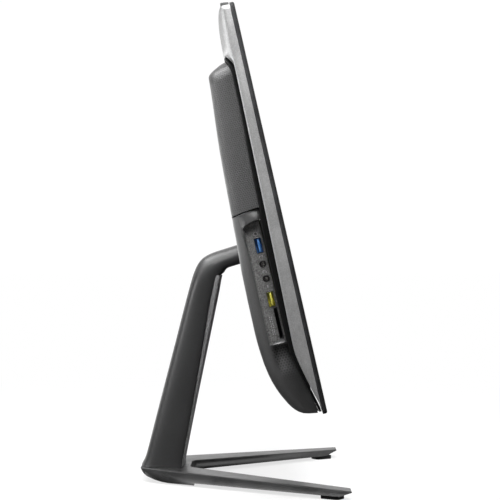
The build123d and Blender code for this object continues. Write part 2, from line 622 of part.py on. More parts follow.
# shallow recess that leaves a round boss standing
disk -= box(DISK_X0 + 8, DISK_X1 - 8, 32.9, 34, DISK_Z0 + 8, DISK_Z1 - 8) - \
    cyl_y((DISK_X0 + DISK_X1) / 2 + 20, (DISK_Z0 + DISK_Z1) / 2, 30, 35, 38)
PARTS["hard_drive"] = place(disk)

# ---------------------------------------------------------------------------
# Speakers in the bottom corners, facing the side slots
# ---------------------------------------------------------------------------
speaker = box(156, 226, 12.6, 24.5, 18.0, 43.0)
speaker += cyl_x(18.8, 30.5, 225.9, 229.5, 5.6)
PARTS["right_speaker"] = place(speaker)
PARTS["left_speaker"] = place(mirror(speaker, Plane.YZ))

# ---------------------------------------------------------------------------
# Display cable and wifi antennas
# ---------------------------------------------------------------------------
CABLE_X, CABLE_Y, CABLE_Z = -150, 15.4, 262

cable_path = FilletPolyline((CABLE_X, CABLE_Y, CABLE_Z), (CABLE_X, CABLE_Y, 276),
                            (-60, CABLE_Y, 276), radius=5)
cable_section = Plane(origin=(CABLE_X, CABLE_Y, CABLE_Z), x_dir=(1, 0, 0),
                      z_dir=(0, 0, 1)) * Rectangle(9.0, 1.2)
PARTS["display_cable"] = place(sweep(cable_section, path=cable_path))
PARTS["wifi_antennas"] = group([
    place(box(*span(side, 210, 250), 11.4, 12.2, 300, 318)) for side in (-1, 1)])

# ---------------------------------------------------------------------------
# Hinge: bracket with two ears on the chassis plate, shaft, washers, nuts
# ---------------------------------------------------------------------------
CHEEK_X = NECK_HALF + 1.0
EAR_X = (CHEEK_X + 1.2, CHEEK_X + 4.2)
SHAFT_R = 4.0

hinge_bracket = box(-54, 54, 12.3, 14.3, 100, 180)
hinge_bracket -= box(-26, 26, 10, 20, 112, 168)
for side in (-1, 1):
    x0, x1 = span(side, *EAR_X)
    ear = box(x0, x1, 14.29, HINGE_Y, HINGE_Z - 12, HINGE_Z + 12)
    ear += cyl_x(HINGE_Y, HINGE_Z, x0, x1, 9.5)
    ear -= cyl_x(HINGE_Y, HINGE_Z, x0 - 1, x1 + 1, SHAFT_R + 0.06)
    hinge_bracket += ear
for x, z in HINGE_HOLES:
    hinge_bracket -= cyl_y(x, z, 0, 20, HINGE_HOLE_R)
PARTS["hinge_head_bracket"] = place(hinge_bracket)
PARTS["hinge_bracket_screws"] = screw_set(HINGE_HOLES, 14.35, 3.6, 2.2, 1.95, 3.6)

# tilt axis in world coordinates
tilt = math.radians(REST_TILT)
AXIS_Y = HEAD_Y + HINGE_Y * math.cos(tilt) + HINGE_Z * math.sin(tilt)
AXIS_Z = HEAD_Z - HINGE_Y * math.sin(tilt) + HINGE_Z * math.cos(tilt)
PARTS["hinge_shaft"] = cyl_x(AXIS_Y, AXIS_Z, -44.0, 44.0, SHAFT_R)

washers, nuts = [], []
for side in (-1, 1):
    # one washer on each side of the ear
    for inner, outer in ((0.05, 1.15), (4.25, 5.6)):
        x0, x1 = span(side, CHEEK_X + inner, CHEEK_X + outer)
        washer = cyl_x(AXIS_Y, AXIS_Z, x0, x1, 8.2)
        washer -= cyl_x(AXIS_Y, AXIS_Z, x0 - 1, x1 + 1, SHAFT_R + 0.1)
        washers.append(washer.solids()[0])
    x0, x1 = span(side, CHEEK_X + 5.65, CHEEK_X + 10.6)
    nut = extrude(Plane(origin=(x0, AXIS_Y, AXIS_Z), x_dir=(0, 1, 0), z_dir=(1, 0, 0)) *
                  RegularPolygon(7.2, 6), amount=x1 - x0)
    nut -= cyl_x(AXIS_Y, AXIS_Z, x0 - 1, x1 + 1, SHAFT_R + 0.05)
    nuts.append(nut.solids()[0])
PARTS["hinge_friction_washers"] = Compound(children=washers)
PARTS["hinge_lock_nuts"] = Compound(children=nuts)

# ---------------------------------------------------------------------------
# Base: a V of two flat legs meeting under the column. World from here on.
# ---------------------------------------------------------------------------
# right half of the plan as (x, y), rear to tip and back along the inner edge
BASE_PLAN = [(30.0, BASE_REAR), (LEG_ROOT_X, LEG_ROOT_Y), (TIP_X1, BASE_FRONT),
             (TIP_X0, BASE_FRONT), (60.0, 0.0), (25.0, 46.0), (18.0, 49.5)]
BASE_SCREWS = [(x, y) for x in (-16, 16) for y in (67.0, 79.5)]
BASE_HOLE_R = 2.1


def base_top(y):
    return (BASE_TOP_FRONT + BASE_TOP_REAR) / 2 + y * (
        BASE_TOP_REAR - BASE_TOP_FRONT) / (BASE_REAR - BASE_FRONT)


base = prism_z(with_mirror(BASE_PLAN), 1.5, 20.0)
# sloping top, cut 10 mm past both ends
base -= prism_x([(BASE_FRONT - 10, BASE_TOP_FRONT - 0.23),
                 (BASE_REAR + 10, BASE_TOP_REAR + 0.23),
                 (BASE_REAR + 10, 40), (BASE_FRONT - 10, 40)], -200, 200)
# raised underside of the legs, rising to the tips
base -= prism_x([(BASE_FRONT - 20, 0), (44.0, 0), (44.0, LEG_BOTTOM),
                 (-85.0, LEG_BOTTOM), (BASE_FRONT - 0.2, BASE_TOP_FRONT - 1.2),
                 (BASE_FRONT - 20, BASE_TOP_FRONT - 1.2)], -200, 200)
# curved underside at the rear edge
base -= prism_x([(BASE_REAR + 20, 12.5), (BASE_REAR, 12.5), (93.6, 9.4),
                 (89.5, 6.3), (82.0, 3.6), (75.0, 2.1), (68.0, 1.5), (60.0, -5),
                 (BASE_REAR + 20, -5)], -200, 200)
base = largest(base)
# soften the rim of the top face
base = try_fillet(base, [e for e in base.edges()
                         if abs(e.center().Z - base_top(e.center().Y)) < 0.12 and
                         e.length > 1.0], [1.0, 0.7, 0.4])
# shallow plinth inside the foot of the column
base += prism_x([(60.2, 12.5), (60.2, 16.1), (86.8, 16.1), (86.8, 12.5)],
                -NECK_HALF + 3, NECK_HALF - 3)
base = largest(base)
for x, y in BASE_SCREWS:
    base -= cyl_z(x, y, -5, 30, BASE_HOLE_R)
    base -= cyl_z(x, y, -5, 8.0, 4.2)
PARTS["base_frame"] = base

screws = []
for x, y in BASE_SCREWS:
    screw = cyl_z(x, y, 4.0, 7.9, 3.9) + cyl_z(x, y, 7.8, 21.5, 2.0)
    screw -= extrude(Plane(origin=(x, y, 3.5)) * RegularPolygon(1.7, 6), amount=2.6)
    screws.append(screw.solids()[0])
PARTS["base_screws"] = Compound(children=screws)

# ---------------------------------------------------------------------------
# Stand column with its neck
# ---------------------------------------------------------------------------
# (y, z), bottom to top
COLUMN_REAR = [(91.6, 20.0), (77.2, 76.4), (53.2, 170.5), (48.4, 189.3), (46.4, 196.0),
               (44.3, 201.2), (42.0, 205.6), (38.1, 209.9), (32.0, 213.6)]
# (y, z), top to bottom
COLUMN_FRONT = [(18.9, 194.9), (20.3, 190.8), (25.6, 190.0), (30.0, 170.5),
                (45.9, 77.0), (55.5, 25.4), (56.6, 20.0)]
slope = math.radians(NECK_SLOPE)


def neck(along, above):
    """(y, z) of a point along the neck from the tilt axis and above its centre line."""
    return (AXIS_Y + math.cos(slope) * along + math.sin(slope) * above,
            AXIS_Z - math.sin(slope) * along + math.cos(slope) * above)


def column_mid_y(z):
    """Sloping line used to tell the column's rear edges from its front ones."""
    return 30 + (170 - z) * 0.2


knuckle = []                      # half round end of the neck, top to bottom
for k in range(13):
    angle = math.radians(90 + 15 * k)
    knuckle.append(neck(NECK_R * math.cos(angle), NECK_R * math.sin(angle)))
under_neck = [neck(24.0, -NECK_R), (17.2, 198.6)]
column = prism_x(knuckle + under_neck + COLUMN_FRONT + COLUMN_REAR, -COL_HALF, COL_HALF)
# front view: the column narrows slightly upwards and into the neck
column &= prism_y([(-COL_HALF, 15), (COL_HALF, 15), (COL_HALF, 60),
                   (NECK_HALF + 3.5, 180), (NECK_HALF, 214), (NECK_HALF, 240),
                   (-NECK_HALF, 240), (-NECK_HALF, 214), (-NECK_HALF - 3.5, 180),
                   (-COL_HALF, 60)], -60, 140)
# hollow, open on its front face under the trim
hollow = prism_x([(40.0, 203.6), (29.0, 206.0), (27.5, 198.0), (28.8, 190.0),
                  (33.6, 170.5), (50.4, 76.0), (62.2, 9.0),
                  (90.6, 9.0), (73.2, 76.4), (49.2, 170.5), (44.4, 189.3)],
                 -NECK_HALF + 2, NECK_HALF - 2)
mouth = prism_x([(0.0, 176.0), (33.5, 176.0), (53.0, 72.0), (61.0, 32.0),
                 (0, 32.0)], -NECK_HALF + 4, NECK_HALF - 4)
column = column - hollow - mouth
column -= cyl_x(AXIS_Y, AXIS_Z, -60, 60, SHAFT_R + 0.02)
column = try_fillet(column, [e for e in column.edges()
                             if e.length > 12 and e.center().Z > 60 and
                             abs(e.center().X) > NECK_HALF - 0.6 and
                             e.center().Y > column_mid_y(e.center().Z)],
                    [5.0, 3.0, 1.5])

# foot of the column, fitted to the base and open round the plinth
foot = prism_x([(57.6, 12.0), (56.6, 20.1), (91.58, 20.1), (93.0, 17.6), (95.1, 14.0),
                (95.3, 12.0)], -COL_HALF, COL_HALF)
foot &= prism_z(with_mirror([(29.6, 95.2), (COL_HALF, 92.4), (COL_HALF, 40.0)]), 5, 30)
foot = foot - base
foot -= box(-NECK_HALF + 2, NECK_HALF - 2, 59.4, 87.6, 5, 30)
stand = largest(largest(column) + foot)
stand -= base
stand = largest(stand)
PARTS["stand_column"] = stand

# ---------------------------------------------------------------------------
# Light grey trim standing proud of the column's front face
# ---------------------------------------------------------------------------
TRIM_HALF = NECK_HALF + 1.4

trim = prism_x([(20.9, 190.2), (21.5, 188.7), (25.4, 168.5), (45.3, 70.5),
                (54.9, 21.5), (55.3, 18.5), (56.8, 18.5), (55.45, 25.4),
                (45.85, 77.0), (29.95, 170.5), (25.5, 189.9)], -TRIM_HALF, TRIM_HALF)
trim = try_fillet(trim, [e for e in trim.edges()
                         if e.length > 30 and
                         abs(abs(e.center().X) - TRIM_HALF) < 0.1 and
                         e.center().Y < column_mid_y(e.center().Z) - 1.0], [0.8, 0.5])
trim = largest(largest(trim) - column)
PARTS["column_front_trim"] = largest(trim - base - stand)

# ---------------------------------------------------------------------------
# Bent steel spine inside the column, screwed to the base
# ---------------------------------------------------------------------------
spine = prism_x([(71.5, 19.0), (39.6, 170.0), (35.2, 190.0), (38.2, 190.6),
                 (42.7, 170.7), (74.6, 19.6)], -22, 22)
spine += box(-24, 24, 62.0, 84.0, 16.2, 19.6)
spine = largest(spine)
for x, y in BASE_SCREWS:
    spine -= cyl_z(x, y, 10, 24, BASE_HOLE_R)
spine = spine - column
PARTS["column_spine"] = largest(spine - stand - base)

# ---------------------------------------------------------------------------
# Foot pads
# ---------------------------------------------------------------------------
leg_angle = math.degrees(math.atan2(TIP_X1 - LEG_ROOT_X, LEG_ROOT_Y - BASE_FRONT))
pads = []
for side in (-1, 1):
    pad = Pos(side * 131.5, -80.0, LEG_BOTTOM / 2 - 0.01) * \
        Rot(0, 0, side * leg_angle) * Box(14.0, 19.0, LEG_BOTTOM - 0.02)
    pad = fillet(pad.edges().filter_by(Axis.Z), 4.0)
    pads.append(pad.solids()[0])
PARTS["front_foot_pads"] = Compound(children=pads)

rear_pad = box(-44.0, 44.0, 47.0, 62.0, 0.0, 1.48)
PARTS["rear_foot_pad"] = fillet(rear_pad.edges().filter_by(Axis.Z), 6.0)

os.makedirs("parts", exist_ok=True)
for name, shape in PARTS.items():
    export_step(shape, f"parts/{name}.step")
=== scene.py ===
"""An all-in-one desktop computer: a tilted display head on a column and base.

World axes: x to the sides, -y the screen side, +y the rear, +z up.
Dimensions of the shells are in mm; object and modifier sizes are in metres.
Points of the head are (x, back, rise): back is the depth behind the screen face and
rise the distance up along the screen. Points of the stand are (x, y, z).
"""
import bpy
import bmesh
import math
import numpy as np
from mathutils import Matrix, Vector


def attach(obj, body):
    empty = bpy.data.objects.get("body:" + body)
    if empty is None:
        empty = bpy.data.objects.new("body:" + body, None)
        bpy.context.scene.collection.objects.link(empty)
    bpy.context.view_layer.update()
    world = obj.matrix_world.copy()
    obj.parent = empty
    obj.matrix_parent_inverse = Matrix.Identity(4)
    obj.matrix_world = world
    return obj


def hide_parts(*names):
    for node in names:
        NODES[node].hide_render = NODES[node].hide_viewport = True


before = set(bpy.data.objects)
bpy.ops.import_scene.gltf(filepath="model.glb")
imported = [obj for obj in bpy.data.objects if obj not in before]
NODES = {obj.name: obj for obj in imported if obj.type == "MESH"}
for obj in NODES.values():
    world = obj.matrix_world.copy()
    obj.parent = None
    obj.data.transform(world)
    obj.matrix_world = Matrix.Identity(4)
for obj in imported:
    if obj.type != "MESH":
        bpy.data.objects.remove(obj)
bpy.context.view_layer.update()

HEAD_TILT = math.radians(12.85)
TILT_COS, TILT_SIN = math.cos(HEAD_TILT), math.sin(HEAD_TILT)
HEAD_Y, HEAD_Z = -70.5, 88.1    # lower front edge of the head
QUARTER = math.pi / 2


def head_point(point):
    x, back, rise = point
    return Vector((x, HEAD_Y + back * TILT_COS + rise * TILT_SIN,
                   HEAD_Z - back * TILT_SIN + rise * TILT_COS)) * 0.001


def world_point(point):
    return Vector(point) * 0.001


def smooth_curve(table):
    """Monotone cubic through (key, value) pairs, held level past both ends."""
    keys, values = np.array(sorted(table), float).T
    steps = np.diff(keys)
    rates = np.diff(values) / steps
    slopes = np.zeros(len(keys))
    slopes[0], slopes[-1] = rates[0], rates[-1]
    for i in range(1, len(keys) - 1):
        if rates[i - 1] * rates[i] > 0:
            before = 2 * steps[i] + steps[i - 1]
            after = steps[i] + 2 * steps[i - 1]
            slopes[i] = (before + after) / (before / rates[i - 1] + after / rates[i])

    def value_at(key):
        key = min(max(key, keys[0]), keys[-1])
        i = int(min(np.searchsorted(keys, key, side="right") - 1, len(keys) - 2))
        s = (key - keys[i]) / steps[i]
        return float((2 * s**3 - 3 * s**2 + 1) * values[i]
                     + (s**3 - 2 * s**2 + s) * steps[i] * slopes[i]
                     + (-2 * s**3 + 3 * s**2) * values[i + 1]
                     + (s**3 - s**2) * steps[i] * slopes[i + 1])
    return value_at


def spread(start, end, count):
    return [start + (end - start) * i / (count - 1) for i in range(count)]


def clamp(value):
    return min(max(value, 0.0), 1.0)


def smooth_step(value):
    value = clamp(value)
    return value * value * (3 - 2 * value)


# ---------------------------------------------------------------------------
# Shader nodes
# ---------------------------------------------------------------------------
class Shader:
    """Adds nodes to one node tree and joins them."""

    def __init__(self, tree):
        self.tree = tree

    def add(self, kind):
        return self.tree.nodes.new(kind)

    def link(self, output, socket):
        self.tree.links.new(output, socket)

    def feed(self, socket, value):
        """Gives a socket a number, a colour or the output of another node."""
        if isinstance(value, tuple):
            socket.default_value = (*value, 1)
        elif isinstance(value, (int, float)):
            socket.default_value = value
        else:
            self.link(value, socket)

    def math(self, operation, *values, clamped=False):
        node = self.add("ShaderNodeMath")
        node.operation = operation
        node.use_clamp = clamped
        for socket, value in zip(node.inputs, values):
            self.feed(socket, value)
        return node.outputs[0]

    def ramp(self, value, from_min, from_max, to_min=0.0, to_max=1.0):
        """Smooth step from one value to another."""
        node = self.add("ShaderNodeMapRange")
        node.interpolation_type = "SMOOTHSTEP"
        self.link(value, node.inputs["Value"])
        node.inputs["From Min"].default_value = from_min
        node.inputs["From Max"].default_value = from_max
        node.inputs["To Min"].default_value = to_min
        node.inputs["To Max"].default_value = to_max
        return node.outputs["Result"]

    def mix(self, factor, first, second):
        node = self.add("ShaderNodeMix")
        node.data_type = "RGBA"
        for index, value in ((0, factor), (6, first), (7, second)):
            self.feed(node.inputs[index], value)
        return node.outputs[2]

    def mix_shader(self, factor, first, second):
        node = self.add("ShaderNodeMixShader")
        for socket, value in zip(node.inputs, (factor, first, second)):
            self.link(value, socket)
        return node.outputs[0]

    def noise(self, vector, scale, detail, roughness=0.55):
        node = self.add("ShaderNodeTexNoise")
        node.inputs["Scale"].default_value = scale
        node.inputs["Detail"].default_value = detail
        node.inputs["Roughness"].default_value = roughness
        self.link(vector, node.inputs["Vector"])
        return node.outputs["Fac"]

    def split(self, kind, value):
        """Outputs of a separate-XYZ or separate-colour node."""
        node = self.add(kind)
        self.link(value, node.inputs[0])
        return node.outputs


DOT_ROW_RATIO = 0.866   # row spacing of a staggered dot pattern over its pitch


def dot_pattern(sh, pitch, radius, masked):
    """Staggered rows of round dots in UV space; pitch is in UV units, radius in pitches."""
    uv_map = sh.add("ShaderNodeUVMap")
    uv_map.uv_map = "UVMap"
    place = sh.split("ShaderNodeSeparateXYZ", uv_map.outputs[0])
    across = sh.math("DIVIDE", place[0], pitch)
    along = sh.math("DIVIDE", place[1], pitch * DOT_ROW_RATIO)
    row = sh.math("FLOOR", along)
    shift = sh.math("FRACT", sh.math("MULTIPLY", row, 0.5))
    cell_u = sh.math("SUBTRACT", sh.math("FRACT", sh.math("ADD", across, shift)), 0.5)
    cell_v = sh.math("MULTIPLY", sh.math("SUBTRACT", sh.math("FRACT", along), 0.5),
                     DOT_ROW_RATIO)
    distance = sh.math("SQRT", sh.math("ADD", sh.math("MULTIPLY", cell_u, cell_u),
                                       sh.math("MULTIPLY", cell_v, cell_v)))
    dot = sh.ramp(distance, radius * 0.72, radius * 1.2, 1.0, 0.0)
    if masked:
        mask = sh.add("ShaderNodeAttribute")
        mask.attribute_name = "grille"
        dot = sh.math("MULTIPLY", dot, mask.outputs["Fac"])
    return dot


def make_mat(name, base, rough=0.5, metal=0.0, spec=0.5, coat=0.0, coat_rough=0.08, aniso=0.0,
             grain=1500.0, grain_col=0.12, grain_bump=0.25, bump_dist=0.00006,
             stretch=(1, 1, 1), blotch=9.0, blotch_col=0.08, tint=None, rough_var=0.08,
             flake=0.0, dots=None, grille=False, wear=0.25, wear_col=None, painted_sheen=0.0,
             glow=None, glow_strength=0.0):
    """A principled material broken up by noise.

    grain, blotch: noise scales of the fine grain and the broad patches; the _col values
    are how far each shifts the colour. stretch draws the grain out along an axis.
    dots: (pitch, radius, depth) of a dot pattern, limited by the grille attribute if set.
    flake, wear, painted_sheen: amounts of metallic flakes, worn edges and a painted sheen that
    lightens upward faces as if lit from above.
    """
    material = bpy.data.materials.new(name)
    material.use_nodes = True
    material.node_tree.nodes.clear()
    sh = Shader(material.node_tree)
    output = sh.add("ShaderNodeOutputMaterial")
    principled = sh.add("ShaderNodeBsdfPrincipled")
    sh.link(principled.outputs[0], output.inputs[0])
    plain = sh.add("ShaderNodeTexCoord").outputs["Object"]
    mapping = sh.add("ShaderNodeMapping")
    mapping.inputs["Scale"].default_value = stretch
    sh.link(plain, mapping.inputs[0])
    stretched = mapping.outputs[0]

    def scaled(factor, lift=0.0):
        return tuple(min(1.0, c * factor + lift) for c in base)

    fine = sh.noise(stretched, grain, 2.0)
    medium = sh.noise(stretched, grain * 0.18, 3.0)
    broad = sh.noise(plain, blotch, 4.0)
    smudge = sh.noise(plain, blotch * 4.3, 5.0, 0.7)

    colour = sh.mix(sh.ramp(fine, 0.32, 0.68), scaled(1 - grain_col * 2),
                    scaled(1 + grain_col * 2))
    colour = sh.mix(sh.ramp(broad, 0.35, 0.65, 0, min(1.0, blotch_col * 4)), colour,
                    tint or scaled(1 - blotch_col))
    height = sh.math("ADD", fine, sh.math("MULTIPLY", medium, 0.5))
    roughness = sh.math("ADD", sh.ramp(smudge, 0.3, 0.7, rough - rough_var, rough + rough_var),
                        sh.math("MULTIPLY", sh.math("SUBTRACT", fine, 0.5), rough_var),
                        clamped=True)
    if flake > 0:
        cells = sh.add("ShaderNodeTexVoronoi")
        cells.inputs["Scale"].default_value = grain * 0.9
        sh.link(stretched, cells.inputs["Vector"])
        random = sh.split("ShaderNodeSeparateColor", cells.outputs["Color"])
        bright = sh.ramp(random[0], 0.55, 1.0)
        colour = sh.mix(sh.math("MULTIPLY", bright, flake), colour, scaled(1.9, 0.06))
        dark = sh.ramp(random[1], 0.6, 1.0)
        colour = sh.mix(sh.math("MULTIPLY", dark, flake * 0.8), colour, scaled(0.45))
        height = sh.math("ADD", height, sh.math("MULTIPLY", random[2], 0.5))
    if dots:
        pitch, radius, depth = dots
        dot = dot_pattern(sh, pitch, radius, grille)
        colour = sh.mix(sh.math("MULTIPLY", dot, depth), colour, scaled(0.12))
        height = sh.math("SUBTRACT", height, sh.math("MULTIPLY", dot, 3.2 * depth))
    if wear > 0:
        edges = sh.ramp(sh.add("ShaderNodeNewGeometry").outputs["Pointiness"], 0.515, 0.60)
        edges = sh.math("MULTIPLY", edges, sh.ramp(smudge, 0.35, 0.6, 0.3, 1.0))
        colour = sh.mix(sh.math("MULTIPLY", edges, wear), colour,
                        wear_col or scaled(1.8, 0.05))
    # painted sheen: faces that point up are lightened towards a pale grey, standing in for light
    # from above
    if painted_sheen > 0:
        normal = sh.split("ShaderNodeSeparateXYZ",
                          sh.add("ShaderNodeNewGeometry").outputs["Normal"])
        lit_tops = sh.math("MULTIPLY", sh.ramp(normal[2], 0.55, 1.0),
                          sh.ramp(smudge, 0.3, 0.7, 0.2, 1.0))
        colour = sh.mix(sh.math("MULTIPLY", lit_tops, painted_sheen), colour, (0.45, 0.44, 0.43))

    sh.link(colour, principled.inputs["Base Color"])
    sh.link(roughness, principled.inputs["Roughness"])
    for socket, value in (("Metallic", metal), ("Specular IOR Level", spec),
                          ("Coat Weight", coat), ("Coat Roughness", coat_rough),
                          ("Anisotropic", aniso)):
        principled.inputs[socket].default_value = value
    if glow:
        principled.inputs["Emission Color"].default_value = (*glow, 1)
        principled.inputs["Emission Strength"].default_value = glow_strength
    bump = sh.add("ShaderNodeBump")
    bump.inputs["Strength"].default_value = grain_bump
    bump.inputs["Distance"].default_value = bump_dist
    sh.link(height, bump.inputs["Height"])
    sh.link(bump.outputs[0], principled.inputs["Normal"])
    return material


# ---------------------------------------------------------------------------
# Materials
# ---------------------------------------------------------------------------
MAT = {
    "cover_grey": make_mat(
        "grey_metallic_cover", (0.33, 0.33, 0.331), rough=0.37, metal=0.70, grain=1500,
        grain_col=0.10, grain_bump=0.22, flake=0.22, blotch_col=0.02, wear=0.30,
        rough_var=0.04),
    "frame_black": make_mat(
        "black_mid_frame", (0.005, 0.005, 0.0052), rough=0.55, spec=0.14, grain=2400,
        grain_col=0.2, grain_bump=0.3, wear=0.25, wear_col=(0.05, 0.05, 0.052)),
    "vent": make_mat(
        "woven_vent_cover", (0.074, 0.074, 0.0745), rough=0.42, metal=0.35, coat=0.3,
        coat_rough=0.35, grain=1700, grain_col=0.15, grain_bump=0.6, bump_dist=0.00012,
        dots=(1.9, 0.30, 0.62), wear=0.3, blotch_col=0.06),
    "lower": make_mat(
        "smooth_dark_cover", (0.062, 0.062, 0.0625), rough=0.38, metal=0.30, coat=0.35,
        coat_rough=0.28, grain=2600, grain_col=0.10, grain_bump=0.35, bump_dist=0.00005,
        dots=(2.3, 0.34, 0.9), grille=True, wear=0.35, blotch_col=0.06),
    "panel": make_mat(
        "speckled_port_panel", (0.135, 0.134, 0.132), rough=0.50, metal=0.1, grain=900,
        grain_col=0.32, grain_bump=0.6, flake=0.18, wear=0.2),
    "bezel": make_mat(
        "black_bezel", (0.009, 0.009, 0.0093), rough=0.50, spec=0.14, grain=2600,
        grain_col=0.15, grain_bump=0.2, wear=0.35, wear_col=(0.10, 0.10, 0.105)),
    "screen": make_mat(
        "screen_glass", (0.006, 0.0065, 0.008), rough=0.10, grain=3000, grain_col=0.1,
        grain_bump=0.04, bump_dist=0.00001, blotch_col=0.2, rough_var=0.04, wear=0, coat=0.6,
        tint=(0.009, 0.009, 0.013)),
    "stand": make_mat(
        "satin_stand_paint", (0.028, 0.028, 0.0285), rough=0.42, metal=0.10, coat=0.6,
        coat_rough=0.30, grain=1400, grain_col=0.10, grain_bump=0.22, bump_dist=0.00004,
        wear=0.3, painted_sheen=0.02),
    "base": make_mat(
        "satin_base_paint", (0.010, 0.010, 0.0103), rough=0.36, metal=0.10, coat=0.4,
        coat_rough=0.24, grain=1400, grain_col=0.10, grain_bump=0.22, bump_dist=0.00004,
        wear=0.4, painted_sheen=0.03),
    "trim": make_mat(
        "metallic_trim", (0.34, 0.34, 0.342), rough=0.44, metal=0.35, grain=1150,
        grain_col=0.12, grain_bump=0.3, flake=0.3, wear=0.2),
    "steel": make_mat(
        "zinc_plated_sheet", (0.52, 0.53, 0.54), rough=0.38, metal=1.0, grain=600,
        grain_col=0.06, stretch=(0.12, 1, 1), grain_bump=0.15, blotch_col=0.14,
        rough_var=0.12, wear=0.2, aniso=0.4),
    "plated": make_mat(
        "nickel_plated", (0.62, 0.61, 0.59), rough=0.25, metal=1.0, grain=1800,
        grain_col=0.05, grain_bump=0.1, blotch_col=0.08, wear=0.2),
    "shaft": make_mat(
        "turned_steel", (0.55, 0.55, 0.56), rough=0.28, metal=1.0, grain=900,
        stretch=(1, 0.08, 0.08), grain_col=0.08, grain_bump=0.25, wear=0.1),
    "pcb": make_mat(
        "solder_resist_board", (0.012, 0.095, 0.045), rough=0.35, grain=420, grain_col=0.25,
        grain_bump=0.5, bump_dist=0.0001, blotch_col=0.2, coat=0.3, wear=0.4,
        wear_col=(0.55, 0.45, 0.25)),
    "chip": make_mat(
        "moulded_resin", (0.02, 0.02, 0.021), rough=0.5, grain=3000, grain_col=0.2,
        grain_bump=0.3),
    "usb_blue": make_mat(
        "blue_tongue", (0.10, 0.32, 0.78), rough=0.30, grain=2600, grain_col=0.12,
        grain_bump=0.15, coat=0.3, wear=0.3, wear_col=(0.35, 0.55, 0.9)),
    "usb_yellow": make_mat(
        "yellow_tongue", (0.97, 0.84, 0.12), rough=0.32, grain=2600, grain_col=0.10,
        grain_bump=0.15, coat=0.3, wear=0.3, wear_col=(0.95, 0.9, 0.45)),
    "jack": make_mat(
        "black_socket", (0.012, 0.012, 0.012), rough=0.38, grain=2400, grain_col=0.2,
        grain_bump=0.2, wear=0.3),
    "copper": make_mat(
        "copper_pipe", (0.70, 0.36, 0.20), rough=0.26, metal=1.0, grain=900,
        stretch=(0.2, 1, 1), grain_col=0.08, grain_bump=0.15, blotch_col=0.2,
        tint=(0.45, 0.22, 0.14)),
    "alu": make_mat(
        "bare_aluminium", (0.72, 0.73, 0.74), rough=0.32, metal=1.0, grain=800,
        stretch=(1, 0.15, 1), grain_col=0.06, grain_bump=0.15, blotch_col=0.08),
    "drive": make_mat(
        "drive_casting", (0.50, 0.51, 0.52), rough=0.42, metal=0.9, grain=1200,
        grain_col=0.10, grain_bump=0.4, blotch_col=0.1),
    "fan": make_mat(
        "fan_plastic", (0.018, 0.018, 0.02), rough=0.42, grain=2000, grain_col=0.15,
        grain_bump=0.2),
    "button": make_mat(
        "polished_button", (0.030, 0.030, 0.032), rough=0.22, grain=2200, grain_col=0.1,
        grain_bump=0.1, coat=0.4, wear=0.4),
    "light": make_mat(
        "light_guide", (0.07, 0.07, 0.075), rough=0.3, grain=1500, grain_col=0.08,
        grain_bump=0.1, glow=(0.85, 0.92, 1.0), glow_strength=0.01, wear=0),
    "strip": make_mat(
        "dark_strip", (0.030, 0.030, 0.031), rough=0.50, spec=0.2, grain=1800,
        grain_col=0.15, grain_bump=0.2, wear=0.4, wear_col=(0.10, 0.10, 0.10)),
    "port_shell": make_mat(
        "dark_nickel", (0.20, 0.20, 0.202), rough=0.38, metal=0.8, grain=1800,
        grain_col=0.08, grain_bump=0.15, wear=0.3, wear_col=(0.45, 0.45, 0.45)),
    "lens": make_mat(
        "coated_lens", (0.012, 0.010, 0.022), rough=0.06, grain=900, grain_col=0.3,
        grain_bump=0.02, coat=1.0, wear=0, tint=(0.03, 0.01, 0.05)),
    "cable": make_mat(
        "flat_cable", (0.10, 0.10, 0.10), rough=0.5, grain=500, stretch=(1, 1, 6),
        grain_col=0.2, grain_bump=0.3),
    "screw_black": make_mat(
        "black_oxide", (0.03, 0.03, 0.03), rough=0.35, metal=0.8, grain=1500, grain_col=0.2,
        grain_bump=0.2, wear=0.6, wear_col=(0.4, 0.4, 0.4)),
    "rubber": make_mat(
        "rubber_foot", (0.016, 0.016, 0.016), rough=0.75, grain=1200, grain_col=0.25,
        grain_bump=0.6, bump_dist=0.0001, wear=0.15, painted_sheen=0.05),
    "print": make_mat(
        "light_print", (0.55, 0.55, 0.55), rough=0.5, grain=2600, grain_col=0.2,
        grain_bump=0.2, wear=0),
    "panel_black": make_mat(
        "panel_frame", (0.02, 0.02, 0.02), rough=0.5, grain=2200, grain_col=0.2,
        grain_bump=0.3),
}

# CAD pieces that wear each material
MAT_NODES = {
    "bezel": "front_bezel",
    "screen": "lcd_glass",
    "panel_black": "backlight_unit",
    "pcb": "webcam_module control_board motherboard memory_modules wifi_card",
    "lens": "webcam_lens",
    "cover_grey": "rear_cover",
    "frame_black": "mid_frame",
    "vent": "upper_vent_cover",
    "lower": "lower_rear_cover",
    "panel": "left_port_panel right_control_panel",
    "plated": "usb3_port_shell charging_usb_port_shell ethernet_port hdmi_port "
              "rear_usb_ports clock_battery motherboard_screws fan_screws "
              "cold_plate_screws hinge_friction_washers hinge_lock_nuts",
    "usb_blue": "usb3_port_tongue",
    "usb_yellow": "charging_usb_port_tongue",
    "jack": "headphone_jack microphone_jack card_reader power_inlet left_speaker "
            "right_speaker",
    "light": "status_light",
    "steel": "rear_io_plate chassis_plate hard_drive_bracket hinge_head_bracket "
             "column_spine",
    "chip": "cpu",
    "copper": "cpu_cold_plate heat_pipe",
    "alu": "heat_sink_fins",
    "fan": "fan_housing fan_impeller",
    "drive": "hard_drive",
    "cable": "display_cable wifi_antennas",
    "screw_black": "hinge_bracket_screws base_screws",
    "stand": "stand_column",
    "trim": "column_front_trim",
    "base": "base_frame",
    "rubber": "front_foot_pads rear_foot_pad",
    "shaft": "hinge_shaft",
    "button": "power_button brightness_up_button brightness_down_button",
}
NODE_MAT = {node: key for key, names in MAT_NODES.items() for node in names.split()}


def shade(mesh, sharp_angle):
    """Smooth faces, with edges sharper than the angle kept crisp."""
    mesh.polygons.foreach_set("use_smooth", [True] * len(mesh.polygons))
    mesh.set_sharp_from_angle(angle=math.radians(sharp_angle))


